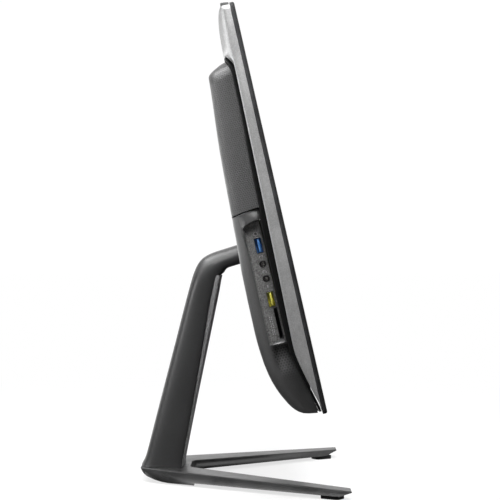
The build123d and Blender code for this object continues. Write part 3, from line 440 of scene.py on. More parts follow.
def dress_cad():
    for name, ob in NODES.items():
        slots = ob.data.materials
        material = MAT[NODE_MAT[name]]
        if len(slots) == 0:
            slots.append(material)
        for i in range(len(slots)):
            slots[i] = material
        shade(ob.data, 32)


def add_bevel(ob, width, segments, angle):
    bevel = ob.modifiers.new("bevel", "BEVEL")
    bevel.width = width
    bevel.segments = segments
    bevel.limit_method = "ANGLE"
    bevel.angle_limit = math.radians(angle)


def soften_cad(name, width, segments):
    """Softens the edges of a CAD piece that stays visible."""
    ob = NODES[name]
    weld = ob.modifiers.new("weld", "WELD")
    weld.merge_threshold = 0.000004
    add_bevel(ob, width, segments, angle=38)
    ob.data.set_sharp_from_angle(angle=math.radians(38))


# ---------------------------------------------------------------------------
# Mesh builder
# ---------------------------------------------------------------------------
def bake(ob):
    """Applies the modifiers."""
    graph = bpy.context.evaluated_depsgraph_get()
    graph.update()
    mesh = bpy.data.meshes.new_from_object(ob.evaluated_get(graph))
    ob.modifiers.clear()
    ob.data = mesh


class Shell:
    """Collects points in mm, with their UVs, and faces, then makes an object of them."""

    def __init__(self, place=head_point):
        self.place = place
        self.points, self.faces, self.uvs, self.masks = [], [], [], []

    def add(self, x, y, z, u=0.0, v=0.0, mask=0.0):
        """Adds a point in the frame of the shell and returns its index."""
        self.points.append((x, y, z))
        self.uvs.append((u, v))
        self.masks.append(mask)
        return len(self.points) - 1

    def loop(self, points):
        """Adds a closed ring of points; the first index is repeated at the end."""
        ids = [self.add(*point) for point in points]
        return ids + [ids[0]]

    def face(self, *ids):
        ids = [i for k, i in enumerate(ids) if i != ids[k - 1]]
        if len(set(ids)) >= 3:
            self.faces.append(ids)

    def strip(self, first, second):
        for i in range(len(first) - 1):
            self.face(first[i], first[i + 1], second[i + 1], second[i])

    def loft(self, rings):
        for first, second in zip(rings, rings[1:]):
            self.strip(first, second)

    def close(self, first, last):
        """Closes a loft with one face at each end ring."""
        self.faces.append(first[:-1])
        self.faces.append(last[:-1][::-1])

    def grid(self, rows, skip):
        for r in range(len(rows) - 1):
            for c in range(len(rows[r]) - 1):
                if not skip(r, c):
                    self.face(rows[r][c], rows[r][c + 1], rows[r + 1][c + 1], rows[r + 1][c])

    def build(self, name, material, body="display_head", replaces=None, sharp=40,
              merge=0.0, cap=False, thickness=0.0, bevel=0.0, grille=False):
        mesh = bpy.data.meshes.new(name)
        mesh.from_pydata([self.place(point) for point in self.points], [], self.faces)
        bm = bmesh.new()
        bm.from_mesh(mesh)
        uv_layer = bm.loops.layers.uv.new("UVMap")
        mask_layer = bm.verts.layers.float.new("grille") if grille else None
        for vert in bm.verts:
            if grille:
                vert[mask_layer] = self.masks[vert.index]
            for corner in vert.link_loops:
                corner[uv_layer].uv = self.uvs[vert.index]
        loose = [vert for vert in bm.verts if not vert.link_faces]
        bmesh.ops.delete(bm, geom=loose, context="VERTS")
        if merge:
            bmesh.ops.remove_doubles(bm, verts=bm.verts, dist=merge)
        if cap:
            open_edges = [edge for edge in bm.edges if edge.is_boundary]
            bmesh.ops.holes_fill(bm, edges=open_edges, sides=0)
        bmesh.ops.recalc_face_normals(bm, faces=bm.faces)
        bm.to_mesh(mesh)
        bm.free()
        ob = bpy.data.objects.new(name, mesh)
        bpy.context.scene.collection.objects.link(ob)
        mesh.materials.append(material)
        if thickness:
            solid = ob.modifiers.new("solid", "SOLIDIFY")
            solid.thickness = thickness
        if bevel:
            add_bevel(ob, bevel, segments=2, angle=50)
        if ob.modifiers:
            bake(ob)
        shade(ob.data, sharp)
        if body:
            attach(ob, body)
            if replaces:
                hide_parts(replaces)
        return ob


# ---------------------------------------------------------------------------
# Shared head dimensions and profiles
# ---------------------------------------------------------------------------
HEAD_HALF = 264.0           # half width of the bezel and the grey rear cover
COVER_TOP = 334.2
COVER_CORNER = 4.0
COVER_FOOT = 3.85           # depth at which the rear cover meets the bezel
HOUSING_HALF = 240.0        # half width of the dark housing on the back
HOUSING_TOP = 294.8
HOUSING_CORNER = 17.0
CORNER_START = HOUSING_TOP - HOUSING_CORNER
HOUSING_ROUND = 8.0         # rounding between the side walls and the rear face
SEAM = 172.4                # rise of the joint between the vent and lower covers
GAP = 0.42                  # half the width of that joint
DOME_DROP = 10.9            # how far the domed top wall falls at the rear

# (rise, depth) of the grey cover beside the housing
BAND = smooth_curve([
    (334.2, 10.1), (330, 10.2), (306, 10.5), (289, 10.7), (249, 11.3), (217, 11.8),
    (148, 13.0), (75, 14.5), (60, 14.85), (52.5, 14.75), (47.5, 14.1), (42.5, 13.2),
    (33.8, 11.2), (25.2, 9.1), (16.6, 7.0), (8.8, 4.7), (6.0, 3.95)])
# (rise, depth) of the front edge of the housing's side walls
FRONT = smooth_curve([
    (283, 13.9), (252, 14.0), (219, 15.3), (186, 16.2), (174, 16.5), (166, 17.2),
    (160, 18.6), (60, 19.1), (55, 18.8), (50, 18.0), (40, 15.5), (30, 13.2), (20, 10.8),
    (10, 8.3), (4.2, 6.9), (0.6, 6.2)])
# (rise, depth) of the grey cover's crown above the housing
CROWN = smooth_curve([
    (334.2, 11.6), (333.0, 13.2), (330, 14.4), (325, 15.5), (318, 16.5), (310, 17.1),
    (303, 17.4), (296.4, 17.6), (280, 17.8)])
# (rise, depth) of the housing's rear face at its sides
REAR = smooth_curve([
    (293, 32.9), (277, 33.6), (264.7, 34.5), (224, 37.7), (183, 39.6), (172.4, 40.05),
    (150, 40.8), (126, 42.0), (93, 42.65), (72, 42.7)])
# (depth, fall) of the housing's domed top wall
DOME = smooth_curve([
    (14.0, 0.0), (17.3, 0.9), (21.6, 2.2), (24.5, 3.6), (29.0, 6.1), (31.6, 8.0),
    (32.6, 9.2), (33.1, 10.1), (33.35, DOME_DROP)])


def seam_drop(back):
    """The seam falls a little towards the rear."""
    return -1.1 - 2.8 * max(0.0, (back - 16.0) / 24.0) ** 1.8


def bulge(x):
    """The rear face stands out a little more at the middle."""
    return 0.9 * (1 - min(1.0, abs(x) / 232.0) ** 2)


def rear_face(x, rise):
    return REAR(min(rise, 290)) + bulge(x)


def housing_outline(growth, side_rises, top_xs, corner_steps):
    """Stations (x, rise, outward x, outward rise, turn) up the left side, along the top
    and down the right side; growth pushes the outline outwards."""
    half = HOUSING_HALF + growth
    top = HOUSING_TOP + growth
    radius = HOUSING_CORNER + growth
    left = [(-half, rise, -1.0, 0.0, 0.0) for rise in side_rises]
    for i in range(1, corner_steps):
        turn = QUARTER * i / corner_steps
        out_x, out_rise = -math.cos(turn), math.sin(turn)
        left.append((-(half - radius) + radius * out_x, top - radius + radius * out_rise,
                     out_x, out_rise, turn))
    tops = [(x, top, 0.0, 1.0, QUARTER) for x in top_xs]
    right = [(-x, rise, -out_x, out_rise, turn)
             for x, rise, out_x, out_rise, turn in reversed(left)]
    return left, tops, right


# ---------------------------------------------------------------------------
# Grey rear cover
# ---------------------------------------------------------------------------
COVER_RISES = [
    6.0, 7.4, 8.8, 12, 16.6, 21, 25.2, 29.5, 33.8, 38, 42.5, 45, 47.5, 50, 52.5, 56, 60, 67,
    75, 95, 120, 148, 180, 217, 249, 270, 280, 284, 286, 288, 289, 290, 291, 292, 293, 294,
    295, 296.4, 298, 301, 305, 309, 313, 317, 321, 324, 326.5, 328.5, 330.2, 331.4, 332.4,
    333.2, 333.8, COVER_TOP]
COVER_EDGE_X = 263.6
COVER_SIDE_X = [COVER_EDGE_X, 262.9, 261.8, 260.2, 258.0, 255.2, 252.0, 248.2, 244.2]
COVER_MID_X = [238, 232, 215, 190, 160, 130, 100, 70, 40, 15]
CROWN_START = 296.4         # above this rise the cover runs across the full width
EDGE_EASE = 0.12            # softening of the outer edge


def cover_half_width(rise):
    over = rise - (COVER_TOP - COVER_CORNER)
    if over <= 0:
        return HEAD_HALF
    return HEAD_HALF - COVER_CORNER + math.sqrt(max(COVER_CORNER ** 2 - over * over, 0.0))


def cover_depth(x, rise):
    outward = max(0.0, (abs(x) - 230.0) / (cover_half_width(rise) - 230.0))
    crown = max(0.0, CROWN(rise) - BAND(rise))
    return BAND(rise) + (crown * (max(0.0, 1 - outward * outward)) ** 0.55
                         * smooth_step((rise - 286.5) / 13.0))


def build_rear_cover():
    shell = Shell()

    def side_points(side, rise):
        half, band = cover_half_width(rise), BAND(rise)
        foot = COVER_FOOT if rise > 6.5 else 3.8
        wall_top = max(foot + 0.02, band - 0.9)
        ids = [shell.add(side * half, back, rise, rise, back)
               for back in (foot, (foot + wall_top) / 2, wall_top)]
        ids.append(shell.add(side * (half - EDGE_EASE), max(foot + 0.03, band - 0.42), rise))
        for column in COVER_SIDE_X:
            x = column * (half / HEAD_HALF) if column > 255 else column
            ease = EDGE_EASE if column == COVER_EDGE_X else 0.0
            ids.append(shell.add(side * x, cover_depth(x, rise) - ease, rise))
        return ids

    mid_x = [-x for x in COVER_MID_X] + COVER_MID_X[::-1]
    rows = []
    for rise in COVER_RISES:
        left = side_points(-1, rise)
        right = side_points(1, rise)[::-1]
        centre = []
        if rise >= CROWN_START:
            centre = [shell.add(x, cover_depth(x, rise), rise) for x in mid_x]
        rows.append((left, centre, right))
    for lower, upper in zip(rows, rows[1:]):
        if lower[1] and upper[1]:
            shell.strip(sum(lower, []), sum(upper, []))
        else:
            shell.strip(lower[0], upper[0])
            shell.strip(lower[2], upper[2])
    # top wall, from the crown forward to the bezel
    previous = sum(rows[-1], [])
    edge = [shell.points[i] for i in previous]
    for share in (0.5, 0.0):
        ring = [shell.add(x, COVER_FOOT + (back - COVER_FOOT) * share, COVER_TOP)
                for x, back, _ in edge]
        shell.strip(previous, ring)
        previous = ring
    shell.build("rear_cover_shell", MAT["cover_grey"], replaces="rear_cover",
                sharp=34, merge=0.00001, thickness=0.0012, bevel=0.00025)


# ---------------------------------------------------------------------------
# Vent cover: the upper half of the housing
# ---------------------------------------------------------------------------
# spans (low, high) of the vent openings: long rows near the top, a block on the right
SLOT_X = [(-149.5 + i * 13.0 - 4.5, -149.5 + i * 13.0 + 4.5) for i in range(24)]
SLOT_RISE = [(261.0, 263.6), (268.0, 270.6)]
FAN_X = [(101.0 + i * 11.6 - 4.2, 101.0 + i * 11.6 + 4.2) for i in range(6)]
FAN_RISE = [(196.0 + j * 8, 198.6 + j * 8) for j in range(5)]
VENT_FOOT = SEAM + GAP
VENT_ROUND_STEPS = 9
VENT_WALL_SHARES = (0.0, 0.12, 0.27, 0.45, 0.7, 1.0)
TOP_DRAFT = math.tan(math.radians(12.5))
DOME_FRONT = 14.0           # depth where the fall of the top wall begins
TOP_FRONT = 17.6            # depth of the top wall's front edge
DOME_REAR = 33.35


def within(value, spans):
    return any(low < value < high for low, high in spans)


def build_vent_cover():
    shell = Shell()
    rises = {VENT_FOOT, VENT_FOOT + 0.4, 175, 178, 182, 186, 190, 234, 240, 247, 254, 258,
             273.0, CORNER_START}
    rises = sorted(rises.union(*FAN_RISE, *SLOT_RISE))
    slot_edges = {round(x, 3) for span in SLOT_X + FAN_X for x in span}
    columns = ([-215.0, -205, -190, -175, -163] + sorted(slot_edges)
               + [166.5, 178, 190, 205, 215.0])
    left, tops, right = housing_outline(0.0, rises, columns, corner_steps=11)

    def section(x, rise, out_x, out_rise, turn):
        """(inset, depth) pairs from the front edge round to the rear face."""
        topness = math.sin(turn) ** 2
        front = FRONT(rise)
        foot = front + (TOP_FRONT - front) * smooth_step(turn / QUARTER)
        radius = HOUSING_ROUND - 4.2 * topness
        draft = TOP_DRAFT * topness
        wall_end = rear_face(x, rise) - radius
        pairs = []
        for share in VENT_WALL_SHARES:
            back = foot + share * (wall_end - foot)
            flare = (2.2 * (1 - share) ** 2 + 0.15) * (1 - topness)
            pairs.append(((back - DOME_FRONT) * draft - flare, back))
        start = (wall_end - DOME_FRONT) * draft - 0.15 * (1 - topness)
        for k in range(1, VENT_ROUND_STEPS + 1):
            angle = QUARTER * k / VENT_ROUND_STEPS
            inset = start + radius * (1 - math.cos(angle))
            rear = rear_face(x - inset * out_x, rise - inset * out_rise)
            pairs.append((inset, rear - radius + radius * math.sin(angle)))
        # the top wall is domed: it drops further and further towards the rear
        end = rear_face(x, HOUSING_TOP - DOME_DROP)
        domed = []
        for i, (inset, back) in enumerate(pairs):
            share = 1 - (1 - i / (len(pairs) - 1)) ** 1.6
            fall = DOME(foot + (DOME_REAR - foot) * share)
            domed.append((inset * (1 - topness) + fall * topness,
                          back * (1 - topness) + (foot + (end - foot) * share) * topness))
        return domed

    def profile(station):
        x, rise, out_x, out_rise, _ = station
        seam_share = 1 - smooth_step((rise - VENT_FOOT) / 16.0)
        pairs = section(*station)
        ids = []
        length = 0.0
        for i, (inset, back) in enumerate(pairs):
            if i:
                length += math.hypot(inset - pairs[i - 1][0], back - pairs[i - 1][1])
            level = rise + seam_drop(back) * seam_share
            if abs(out_rise) > 0.7:
                uv = (x, level + 30 - length)
            else:
                uv = (200 - length if x < 0 else length - 200, level)
            ids.append(shell.add(x - inset * out_x, back, level - inset * out_rise, *uv))
        return ids

    left_ids = [profile(station) for station in left]
    top_ids = [profile(station) for station in tops]
    right_ids = [profile(station) for station in right]
    shell.loft(left_ids + top_ids + right_ids)

    # rear face, row by row between the two sides
    rows = []
    for i, (left_end, right_end) in enumerate(zip(left_ids, right_ids[::-1])):
        edge_x, _, rise = shell.points[left_end[-1]]
        if i >= len(rises):
            rise = CORNER_START + ((HOUSING_CORNER - DOME_DROP) * (i - len(rises) + 1)
                                   / (len(left_ids) - len(rises) + 1))
        row = [left_end[-1]]
        for column in columns:
            x = column
            if abs(column) > 200:
                x = math.copysign(200 + (abs(column) - 200) * (abs(edge_x) - 200) / 32.0,
                                  column)
            row.append(shell.add(x, rear_face(x, rise), rise, x - 8, rise))
        row.append(right_end[-1])
        rows.append(row)

    def is_opening(r, c):
        points = shell.points
        mid_rise = (points[rows[r][1]][2] + points[rows[r + 1][1]][2]) / 2
        mid_x = (points[rows[r][c]][0] + points[rows[r][c + 1]][0]) / 2
        return any(within(mid_rise, spans) and within(mid_x, x_spans)
                   for spans, x_spans in ((SLOT_RISE, SLOT_X), (FAN_RISE, FAN_X)))

    shell.grid(rows, is_opening)
    top_row = [left_ids[-1][-1]] + [ids[-1] for ids in top_ids] + [right_ids[0][-1]]
    shell.strip(rows[-1], top_row)
    shell.build("upper_vent_cover_shell", MAT["vent"], replaces="upper_vent_cover",
                merge=0.00001, thickness=0.002, bevel=0.0003)


# ---------------------------------------------------------------------------
# Smooth lower cover with its side recesses, rear window and wide opening
# ---------------------------------------------------------------------------
# (depth, rise) down the rear face and round underneath
SILHOUETTE = [
    (40.05, SEAM - GAP), (40.07, SEAM - GAP - 0.4), (40.15, 169.5), (40.3, 166),
    (40.5, 161), (40.8, 153.0), (40.95, 149), (41.5, 137), (42.1, 126.6), (42.25, 122.6),
    (42.45, 110), (42.6, 100), (42.65, 85), (42.7, 74.0), (42.6, 68), (42.25, 61),
    (42.0, 57.5), (41.4, 51.5), (40.95, 47.0), (39.4, 38), (37.8, 31.5), (35.6, 25),
    (33.6, 20.2), (31.4, 15.8), (29.2, 11.6), (27.0, 8.2), (24.6, 5.4), (22.0, 3.3),
    (18.8, 1.6), (14.5, 0.5), (10.0, -0.2), (7.4, -0.6)]
LOWER_X = [-206, -202, -160, -120, -100, -76, -72, -50, -33.0, -29.0, -14, 0, 14, 29.0,
           33.0, 50, 72, 100, 130, 160, 190, 210]
LOWER_ROUND_STEPS = 8
WALL_STEPS = 7
RECESS_REAR = 33.0              # depth of the recess's rear edge
RECESS_TOP, RECESS_FOOT = 161.0, 61.0
WINDOW_HALF = 33.0
WINDOW_LOW, WINDOW_HIGH = 122.6, 153.0
WINDOW_CORNER = 4.0
OPENING_X = (-206, -72)
OPENING_RISE = (47.0, 74.0)
WALL_BEND = 57.5                # below this rise the side walls follow the curved underside
WALL_FOOT = 0.6


def recess_arch(back):
    """Height of the recess's arched top edge above its nominal top."""
    share = clamp((back - 17.0) / (RECESS_REAR - 17.0))
    return 1.4 - 4.4 * share ** 3


def build_lower_cover():
    shell = Shell()
    inward, lengths = [], [0.0]
    for i, (back, rise) in enumerate(SILHOUETTE):
        before, after = SILHOUETTE[max(i - 1, 0)], SILHOUETTE[min(i + 1, len(SILHOUETTE) - 1)]
        run_back, run_rise = after[0] - before[0], after[1] - before[1]
        run = math.hypot(run_back, run_rise)
        inward.append((run_rise / run, -run_back / run))
        if i:
            lengths.append(lengths[-1] + math.hypot(back - before[0], rise - before[1]))
    bend = [rise for _, rise in SILHOUETTE].index(WALL_BEND)

    def seam_fall(back, rise):
        return seam_drop(back) * smooth_step((rise - 162) / 9.0)

    def front_edge(i):
        rise = SILHOUETTE[i][1]
        if i > bend:
            share = (lengths[i] - lengths[bend]) / (lengths[-1] - lengths[bend])
            rise = WALL_BEND + (WALL_FOOT - WALL_BEND) * share
        return FRONT(rise), rise

    def wall_points(i, radius):
        """(x, depth, rise, u, v, mask) from the rounding forward to the front edge."""
        back, rise = SILHOUETTE[i]
        start_back, start_rise = back + inward[i][0] * radius, rise + inward[i][1] * radius
        end_back, end_rise = front_edge(i)
        points = []
        for step in range(1, WALL_STEPS + 1):
            if i <= bend:
                share = (step - 1) / (WALL_STEPS - 1)
                deep, level = RECESS_REAR + (end_back - RECESS_REAR) * share, rise
            else:
                share = step / WALL_STEPS
                deep = start_back + (end_back - start_back) * share
                level = start_rise + (end_rise - start_rise) * share
            level += seam_fall(deep, rise)
            level += smooth_step(1 - abs(rise - RECESS_TOP) / 10.5) * recess_arch(deep)
            # the hood above the recess flares out, the grille below it is scooped in
            out = 0.0
            if 160.5 < rise < 171:
                out = 2.3 * smooth_step((171 - level) / 9.0) * smooth_step((30.5 - deep) / 7.0)
            scoop = 0.0
            if level < 59.2:
                scoop = 4.6 * smooth_step((level - 33) / 22.0) * smooth_step((32.0 - deep) / 2.5)
            in_grille = 20 < level < 58.5 and end_back + 0.6 < deep < 33
            mask = smooth_step((level - 26) / 20.0) if in_grille else 0.0
            taper = clamp((36.0 - deep) / max(1.0, 36.0 - end_back))
            out -= 1.35 * taper * taper * clamp(rise / 12.0)
            points.append((HOUSING_HALF + out - scoop, deep, level, 240 + (32 - deep), level,
                           mask))
        return points

    rows = []
    for i, (back, rise) in enumerate(SILHOUETTE):
        radius = HOUSING_ROUND if rise > 6 else max(2.2, HOUSING_ROUND - (6 - rise))
        left, right = [], []
        for k in range(LOWER_ROUND_STEPS + 1):
            angle = QUARTER * (1 - k / LOWER_ROUND_STEPS)
            inset = radius * (1 - math.sin(angle))
            x = HOUSING_HALF - radius * (1 - math.cos(angle))
            deep = back + inward[i][0] * inset
            level = rise + inward[i][1] * inset + seam_fall(deep, rise)
            left.append(shell.add(-x, deep, level, x, lengths[i]))
            right.append(shell.add(x, deep, level, x, lengths[i]))
        wall = wall_points(i, radius)
        left += [shell.add(-x, *rest) for x, *rest in wall]
        right += [shell.add(x, *rest) for x, *rest in wall]
        middle = [shell.add(x, back + bulge(x) * clamp((rise - 10) / 50.0),
                            rise + seam_fall(back, rise), x, lengths[i])
                  for x in LOWER_X]
        rows.append(left[::-1] + middle + right)

    side_count = LOWER_ROUND_STEPS + 1 + WALL_STEPS
    width = len(rows[0])
    window_corners = []

    def is_opening(r, c):
        mid_rise = (SILHOUETTE[r][1] + SILHOUETTE[r + 1][1]) / 2
        if min(c, width - 2 - c) < WALL_STEPS - 1 and RECESS_FOOT - 0.01 < mid_rise < RECESS_TOP:
            return True
        if not side_count <= c < width - side_count - 1:
            return False
        mid_x = (LOWER_X[c - side_count] + LOWER_X[c - side_count + 1]) / 2
        if abs(mid_x) < WINDOW_HALF and WINDOW_LOW < mid_rise < WINDOW_HIGH:
            at_end = (mid_rise > WINDOW_HIGH - WINDOW_CORNER
                      or mid_rise < WINDOW_LOW + WINDOW_CORNER)
            if abs(mid_x) > WINDOW_HALF - WINDOW_CORNER and at_end:
                # a triangle stays across each corner of the window
                corner_x = math.copysign(WINDOW_HALF, mid_x)
                corner_rise = WINDOW_HIGH if mid_rise > 140 else WINDOW_LOW
                ids = [rows[r][c], rows[r][c + 1], rows[r + 1][c + 1], rows[r + 1][c]]
                ids.sort(key=lambda i: math.hypot(shell.points[i][0] - corner_x,
                                                  shell.points[i][2] - corner_rise))
                window_corners.append(ids[:3])
            return True
        return within(mid_x, [OPENING_X]) and within(mid_rise, [OPENING_RISE])

    shell.grid(rows, is_opening)
    for ids in window_corners:
        shell.face(*ids)
    shell.build("lower_rear_cover_shell", MAT["lower"], replaces="lower_rear_cover",
                sharp=38, merge=0.00001, thickness=0.002,
                bevel=0.0003, grille=True)


# ---------------------------------------------------------------------------
# Stand column: one smooth shell from the neck, round the bend, to the base
# ---------------------------------------------------------------------------
AXIS_Y, AXIS_Z = -11.09, 218.14     # centre of the knuckle inside the head
NECK_SLOPE = math.radians(17.5)
NECK_RADIUS = 9.0                   # half the thickness of the neck
# half width of the column at each height
COLUMN_WIDTH_Z = (60, 120, 180, 200, 214, 222)
COLUMN_WIDTH = (36.0, 35.0, 33.2, 31.6, 30.3, 30.0)
# (y, z) of the rear and front faces, from the neck down
COLUMN_STATIONS = [
    ((20.2, 217.7), (11.5, 201.6)), ((25.5, 216.0), (13.6, 200.9)),
    ((30.2, 214.2), (15.3, 200.0)), ((34.2, 212.2), (16.5, 199.0)),
    ((37.6, 209.9), (17.4, 197.9)), ((40.2, 207.3), (18.1, 196.7)),
    ((42.3, 204.3), (18.9, 195.6)), ((44.2, 200.7), (20.3, 194.4)),
    ((45.8, 196.7), (22.4, 192.8)), ((47.3, 192.3), (24.3, 190.2)),
    ((49.0, 186.3), (26.0, 186.4)), ((51.0, 178.9), (28.0, 179.3)),
    ((53.2, 170.5), (30.1, 170.2)), ((56.8, 156.5), (32.6, 155.8)),
    ((61.6, 137.5), (35.8, 136.8)), ((66.4, 118.7), (39.0, 118.0)),
    ((71.2, 99.9), (42.2, 99.2)), ((77.2, 76.4), (46.1, 76.0)),
    ((82.3, 56.4), (49.8, 56.0)), ((87.2, 37.0), (53.4, 36.6)),
    ((90.2, 25.5), (55.3, 25.6)), ((91.3, 21.9), (56.0, 21.8)),
    ((92.9, 18.0), (56.6, 17.6)), ((95.0, 14.0), (57.2, 13.2))]


def neck_point(along, above):
    """(y, z) of a point along the sloping neck and above its middle line."""
    return (AXIS_Y + math.cos(NECK_SLOPE) * along + math.sin(NECK_SLOPE) * above,
            AXIS_Z - math.sin(NECK_SLOPE) * along + math.cos(NECK_SLOPE) * above)


def stand_ring(shell, front, rear, section):
    """Closed ring of (x, share) points, share running from the front to the rear face."""
    front_y, front_z = front
    rear_y, rear_z = rear
    return shell.loop((x, front_y + (rear_y - front_y) * share,
                       front_z + (rear_z - front_z) * share, x, front_z)
                      for x, share in section)


def column_section(half, fullness, descent):
    """(x, share) round the column; fullness shrinks its rounding at the knuckle and
    descent runs from 0 at the neck to 1 past the bend."""
    shoulder = -0.5 * (1 - descent) - 0.15 * descent
    rear_round = (14.0 - 5.5 * descent) * fullness
    front_round = (5.5 - 2.7 * descent) * fullness
    side = []
    for step in spread(-1, 1, 15):
        across = math.sin(QUARTER * step)
        if across > shoulder:
            depth, power = rear_round, 2.0 + 0.3 * descent
            reach = (across - shoulder) / (1 - shoulder)
        else:
            depth, power = front_round, 2.0 + 1.2 * descent
            reach = (shoulder - across) / (1 + shoulder)
        x = half - depth * (1 - max(0.0, 1 - abs(reach) ** power) ** (1 / power))
        side.append((x, across))
    front_x, rear_x = side[0][0], side[-1][0]
    ring = side + [(x, 1.0 + 0.06 * (1 - (x / rear_x) ** 2) * descent)
                   for x in spread(rear_x, -rear_x, 11)[1:-1]]
    ring += [(-x, across) for x, across in side[::-1]]
    ring += [(x, -1.0) for x in spread(-front_x, front_x, 11)[1:-1]]
    return [(x, (across + 1) / 2) for x, across in ring]


def build_column():
    shell = Shell(world_point)
    stations = []
    for k in range(7):
        angle = QUARTER * (k + 0.35) / 7.35
        along = -NECK_RADIUS * math.cos(angle)
        above = NECK_RADIUS * math.sin(angle)
        stations.append((neck_point(along, above), neck_point(along, -above),
                         math.sin(angle)))
    for along in (0, 6, 12, 18, 24):
        stations.append((neck_point(along, NECK_RADIUS), neck_point(along, -NECK_RADIUS), 1.0))
    stations += [(rear, front, 1.0) for rear, front in COLUMN_STATIONS]
    rings = []
    for i, (rear, front, fullness) in enumerate(stations):
        half = float(np.interp((rear[1] + front[1]) / 2, COLUMN_WIDTH_Z, COLUMN_WIDTH))
        section = column_section(half, fullness, descent=clamp((i - 14) / 9.0))
        rings.append(stand_ring(shell, front, rear, section))
    shell.loft(rings)
    shell.build("stand_column_shell", MAT["stand"], body="stand", replaces="stand_column",
                sharp=50, merge=0.00001, cap=True)


TRIM_HALF = 31.4
# (y, z) of the trim's front and rear faces, from the top down
TRIM_STATIONS = [
    ((20.6, 193.2), (25.8, 194.2)), ((21.6, 188.7), (27.4, 187.6)),
    ((23.4, 178.5), (29.6, 178.4)), ((25.4, 168.5), (31.8, 168.6)),
    ((31.1, 140.5), (37.2, 140.5)), ((38.2, 105.5), (42.6, 105.5)),
    ((45.3, 70.5), (48.2, 70.5)), ((51.0, 41.5), (53.2, 41.5)),
    ((54.9, 21.5), (57.4, 21.5)), ((56.2, 13.4), (58.6, 13.4))]
# (distance in from the side, share of the depth) round the trim's front edge
TRIM_EDGE = ((0, 1.0), (0, 0.45), (0.05, 0.25), (0.35, 0.10), (1.2, 0.01), (2.6, -0.03))


def build_trim():
    shell = Shell(world_point)
    edge = [(TRIM_HALF - inset, share) for inset, share in TRIM_EDGE]
    flat = edge[-1][0]
    section = edge + [(x, -0.03 - 0.05 * (1 - (x / TRIM_HALF) ** 2))
                      for x in spread(flat, -flat, 11)[1:-1]]
    section += [(-x, share) for x, share in reversed(edge)]
    shell.loft([stand_ring(shell, front, rear, section) for front, rear in TRIM_STATIONS])
    shell.build("column_front_trim_shell", MAT["trim"], body="stand",
                replaces="column_front_trim", merge=0.00001, cap=True,
                bevel=0.0004)


# ---------------------------------------------------------------------------
# Black mid frame: a band up both sides and over the top of the housing
# ---------------------------------------------------------------------------
FRAME_RISES = [0.6, 4.2, 10, 20, 30, 40, 50, 55, 60, 90, 120, 148, 160, 174, 186, 219, 252,
               270, CORNER_START]
FRAME_FRONT = 9.2


def frame_section(rise, topness):
    """(distance outwards, depth) round the frame's cross-section."""
    low = FRONT(rise) - 0.12
    rear = low + (17.4 - low) * topness
    front = FRAME_FRONT
    width = 3.75 - 0.25 * topness
    if rise >= 60:
        return [(0.0, front), (0.0, front + 0.5 * (rear - front)), (0.0, rear - 0.35),
                (0.15, rear - 0.1), (0.4, rear), (1.6, rear + 0.12 * topness),
                (width - 1.6, rear - 0.05 * topness),
                (width - 0.6, rear - 0.25 - 0.5 * topness),
                (width - 0.1, rear - 0.8 - 1.1 * topness),
                (width, rear - 1.5 - 1.8 * topness), (width, front + 0.3), (width, front)]
    # below, the frame narrows to the wedge behind the grey band
    if rear > front + 0.5:
        shares = (0, 0.5, 1, 1, 1, 1)
    else:
        shares = [k / 6.0 for k in range(6)]
    front = max(4.1, min(front, rear - 2.2))
    return [(out, front + (rear - front) * share)
            for out, share in zip((0.0, 0.0, 0.0, 0.3, 0.6, 1.6), shares)] + [
        (width - 1.6, rear), (width - 0.6, rear - 0.1), (width - 0.1, rear - 0.4),
        (width, rear - 0.9), (width, front + 0.2), (width, front)]


def build_mid_frame():
    shell = Shell()
    flat = HOUSING_HALF - HOUSING_CORNER
    left, tops, right = housing_outline(0.15, FRAME_RISES, spread(-flat, flat, 17),
                                        corner_steps=15)
    rings = []
    for x, rise, out_x, out_rise, turn in left + tops + right:
        section = frame_section(rise, smooth_step(turn / QUARTER))
        rings.append(shell.loop((x + out_x * out, back, rise + out_rise * out, rise, back)
                                for out, back in section))
    shell.loft(rings)
    shell.build("mid_frame_ring", MAT["frame_black"], replaces="mid_frame",
                sharp=45, merge=0.00001, cap=True)


def build_top_strip():
    """Dark strip along the top edge of the rear cover, tapering at both ends."""
    shell = Shell()
    taper = [(262.2, 0.1), (261.8, 0.5), (260.6, 0.85), (258, 1.0)]    # (x, fullness)
    stations = ([(-x, full) for x, full in taper] + [(x, 1.0) for x in spread(-250, 250, 13)]
                + taper[::-1])
    rings = []
    for x, full in stations:
        top = 333.9 + 2.1 * full
        foot = [(4.3, 332.3)]
        ridge = [(4.3, top - 0.35), (4.5, top - 0.1), (4.85, top), (7.6, top + 0.06 * full),
                 (10.2, top - 0.1), (10.75, top - 0.3), (11.0, top - 0.75)]
        sloped = [(back, rise + full * (0.17 * (back - 4.3) - 0.3)) for back, rise in ridge]
        rings.append(shell.loop((x, back, rise, x, back)
                                for back, rise in foot + sloped + [(11.0, 332.2)]))
    shell.loft(rings)
    shell.close(rings[0], rings[-1])
    shell.build("top_edge_strip", MAT["strip"], merge=0.000002)


# ---------------------------------------------------------------------------
# Front bezel with softened rim and a stepped inner edge
# ---------------------------------------------------------------------------
def rounded_rect(half, low, high, radius, steps=8):
    """(across, up) points of a rounded rectangle centred across."""
    points = []
    for centre_x, centre_y, start in (
            (half - radius, high - radius, 0), (-(half - radius), high - radius, 90),
            (-(half - radius), low + radius, 180), (half - radius, low + radius, 270)):
        for k in range(steps + 1):
            angle = math.radians(start + 90 * k / steps)
            points.append((centre_x + radius * math.cos(angle),
                           centre_y + radius * math.sin(angle)))
    return points


BEZEL_TOP = 335.0
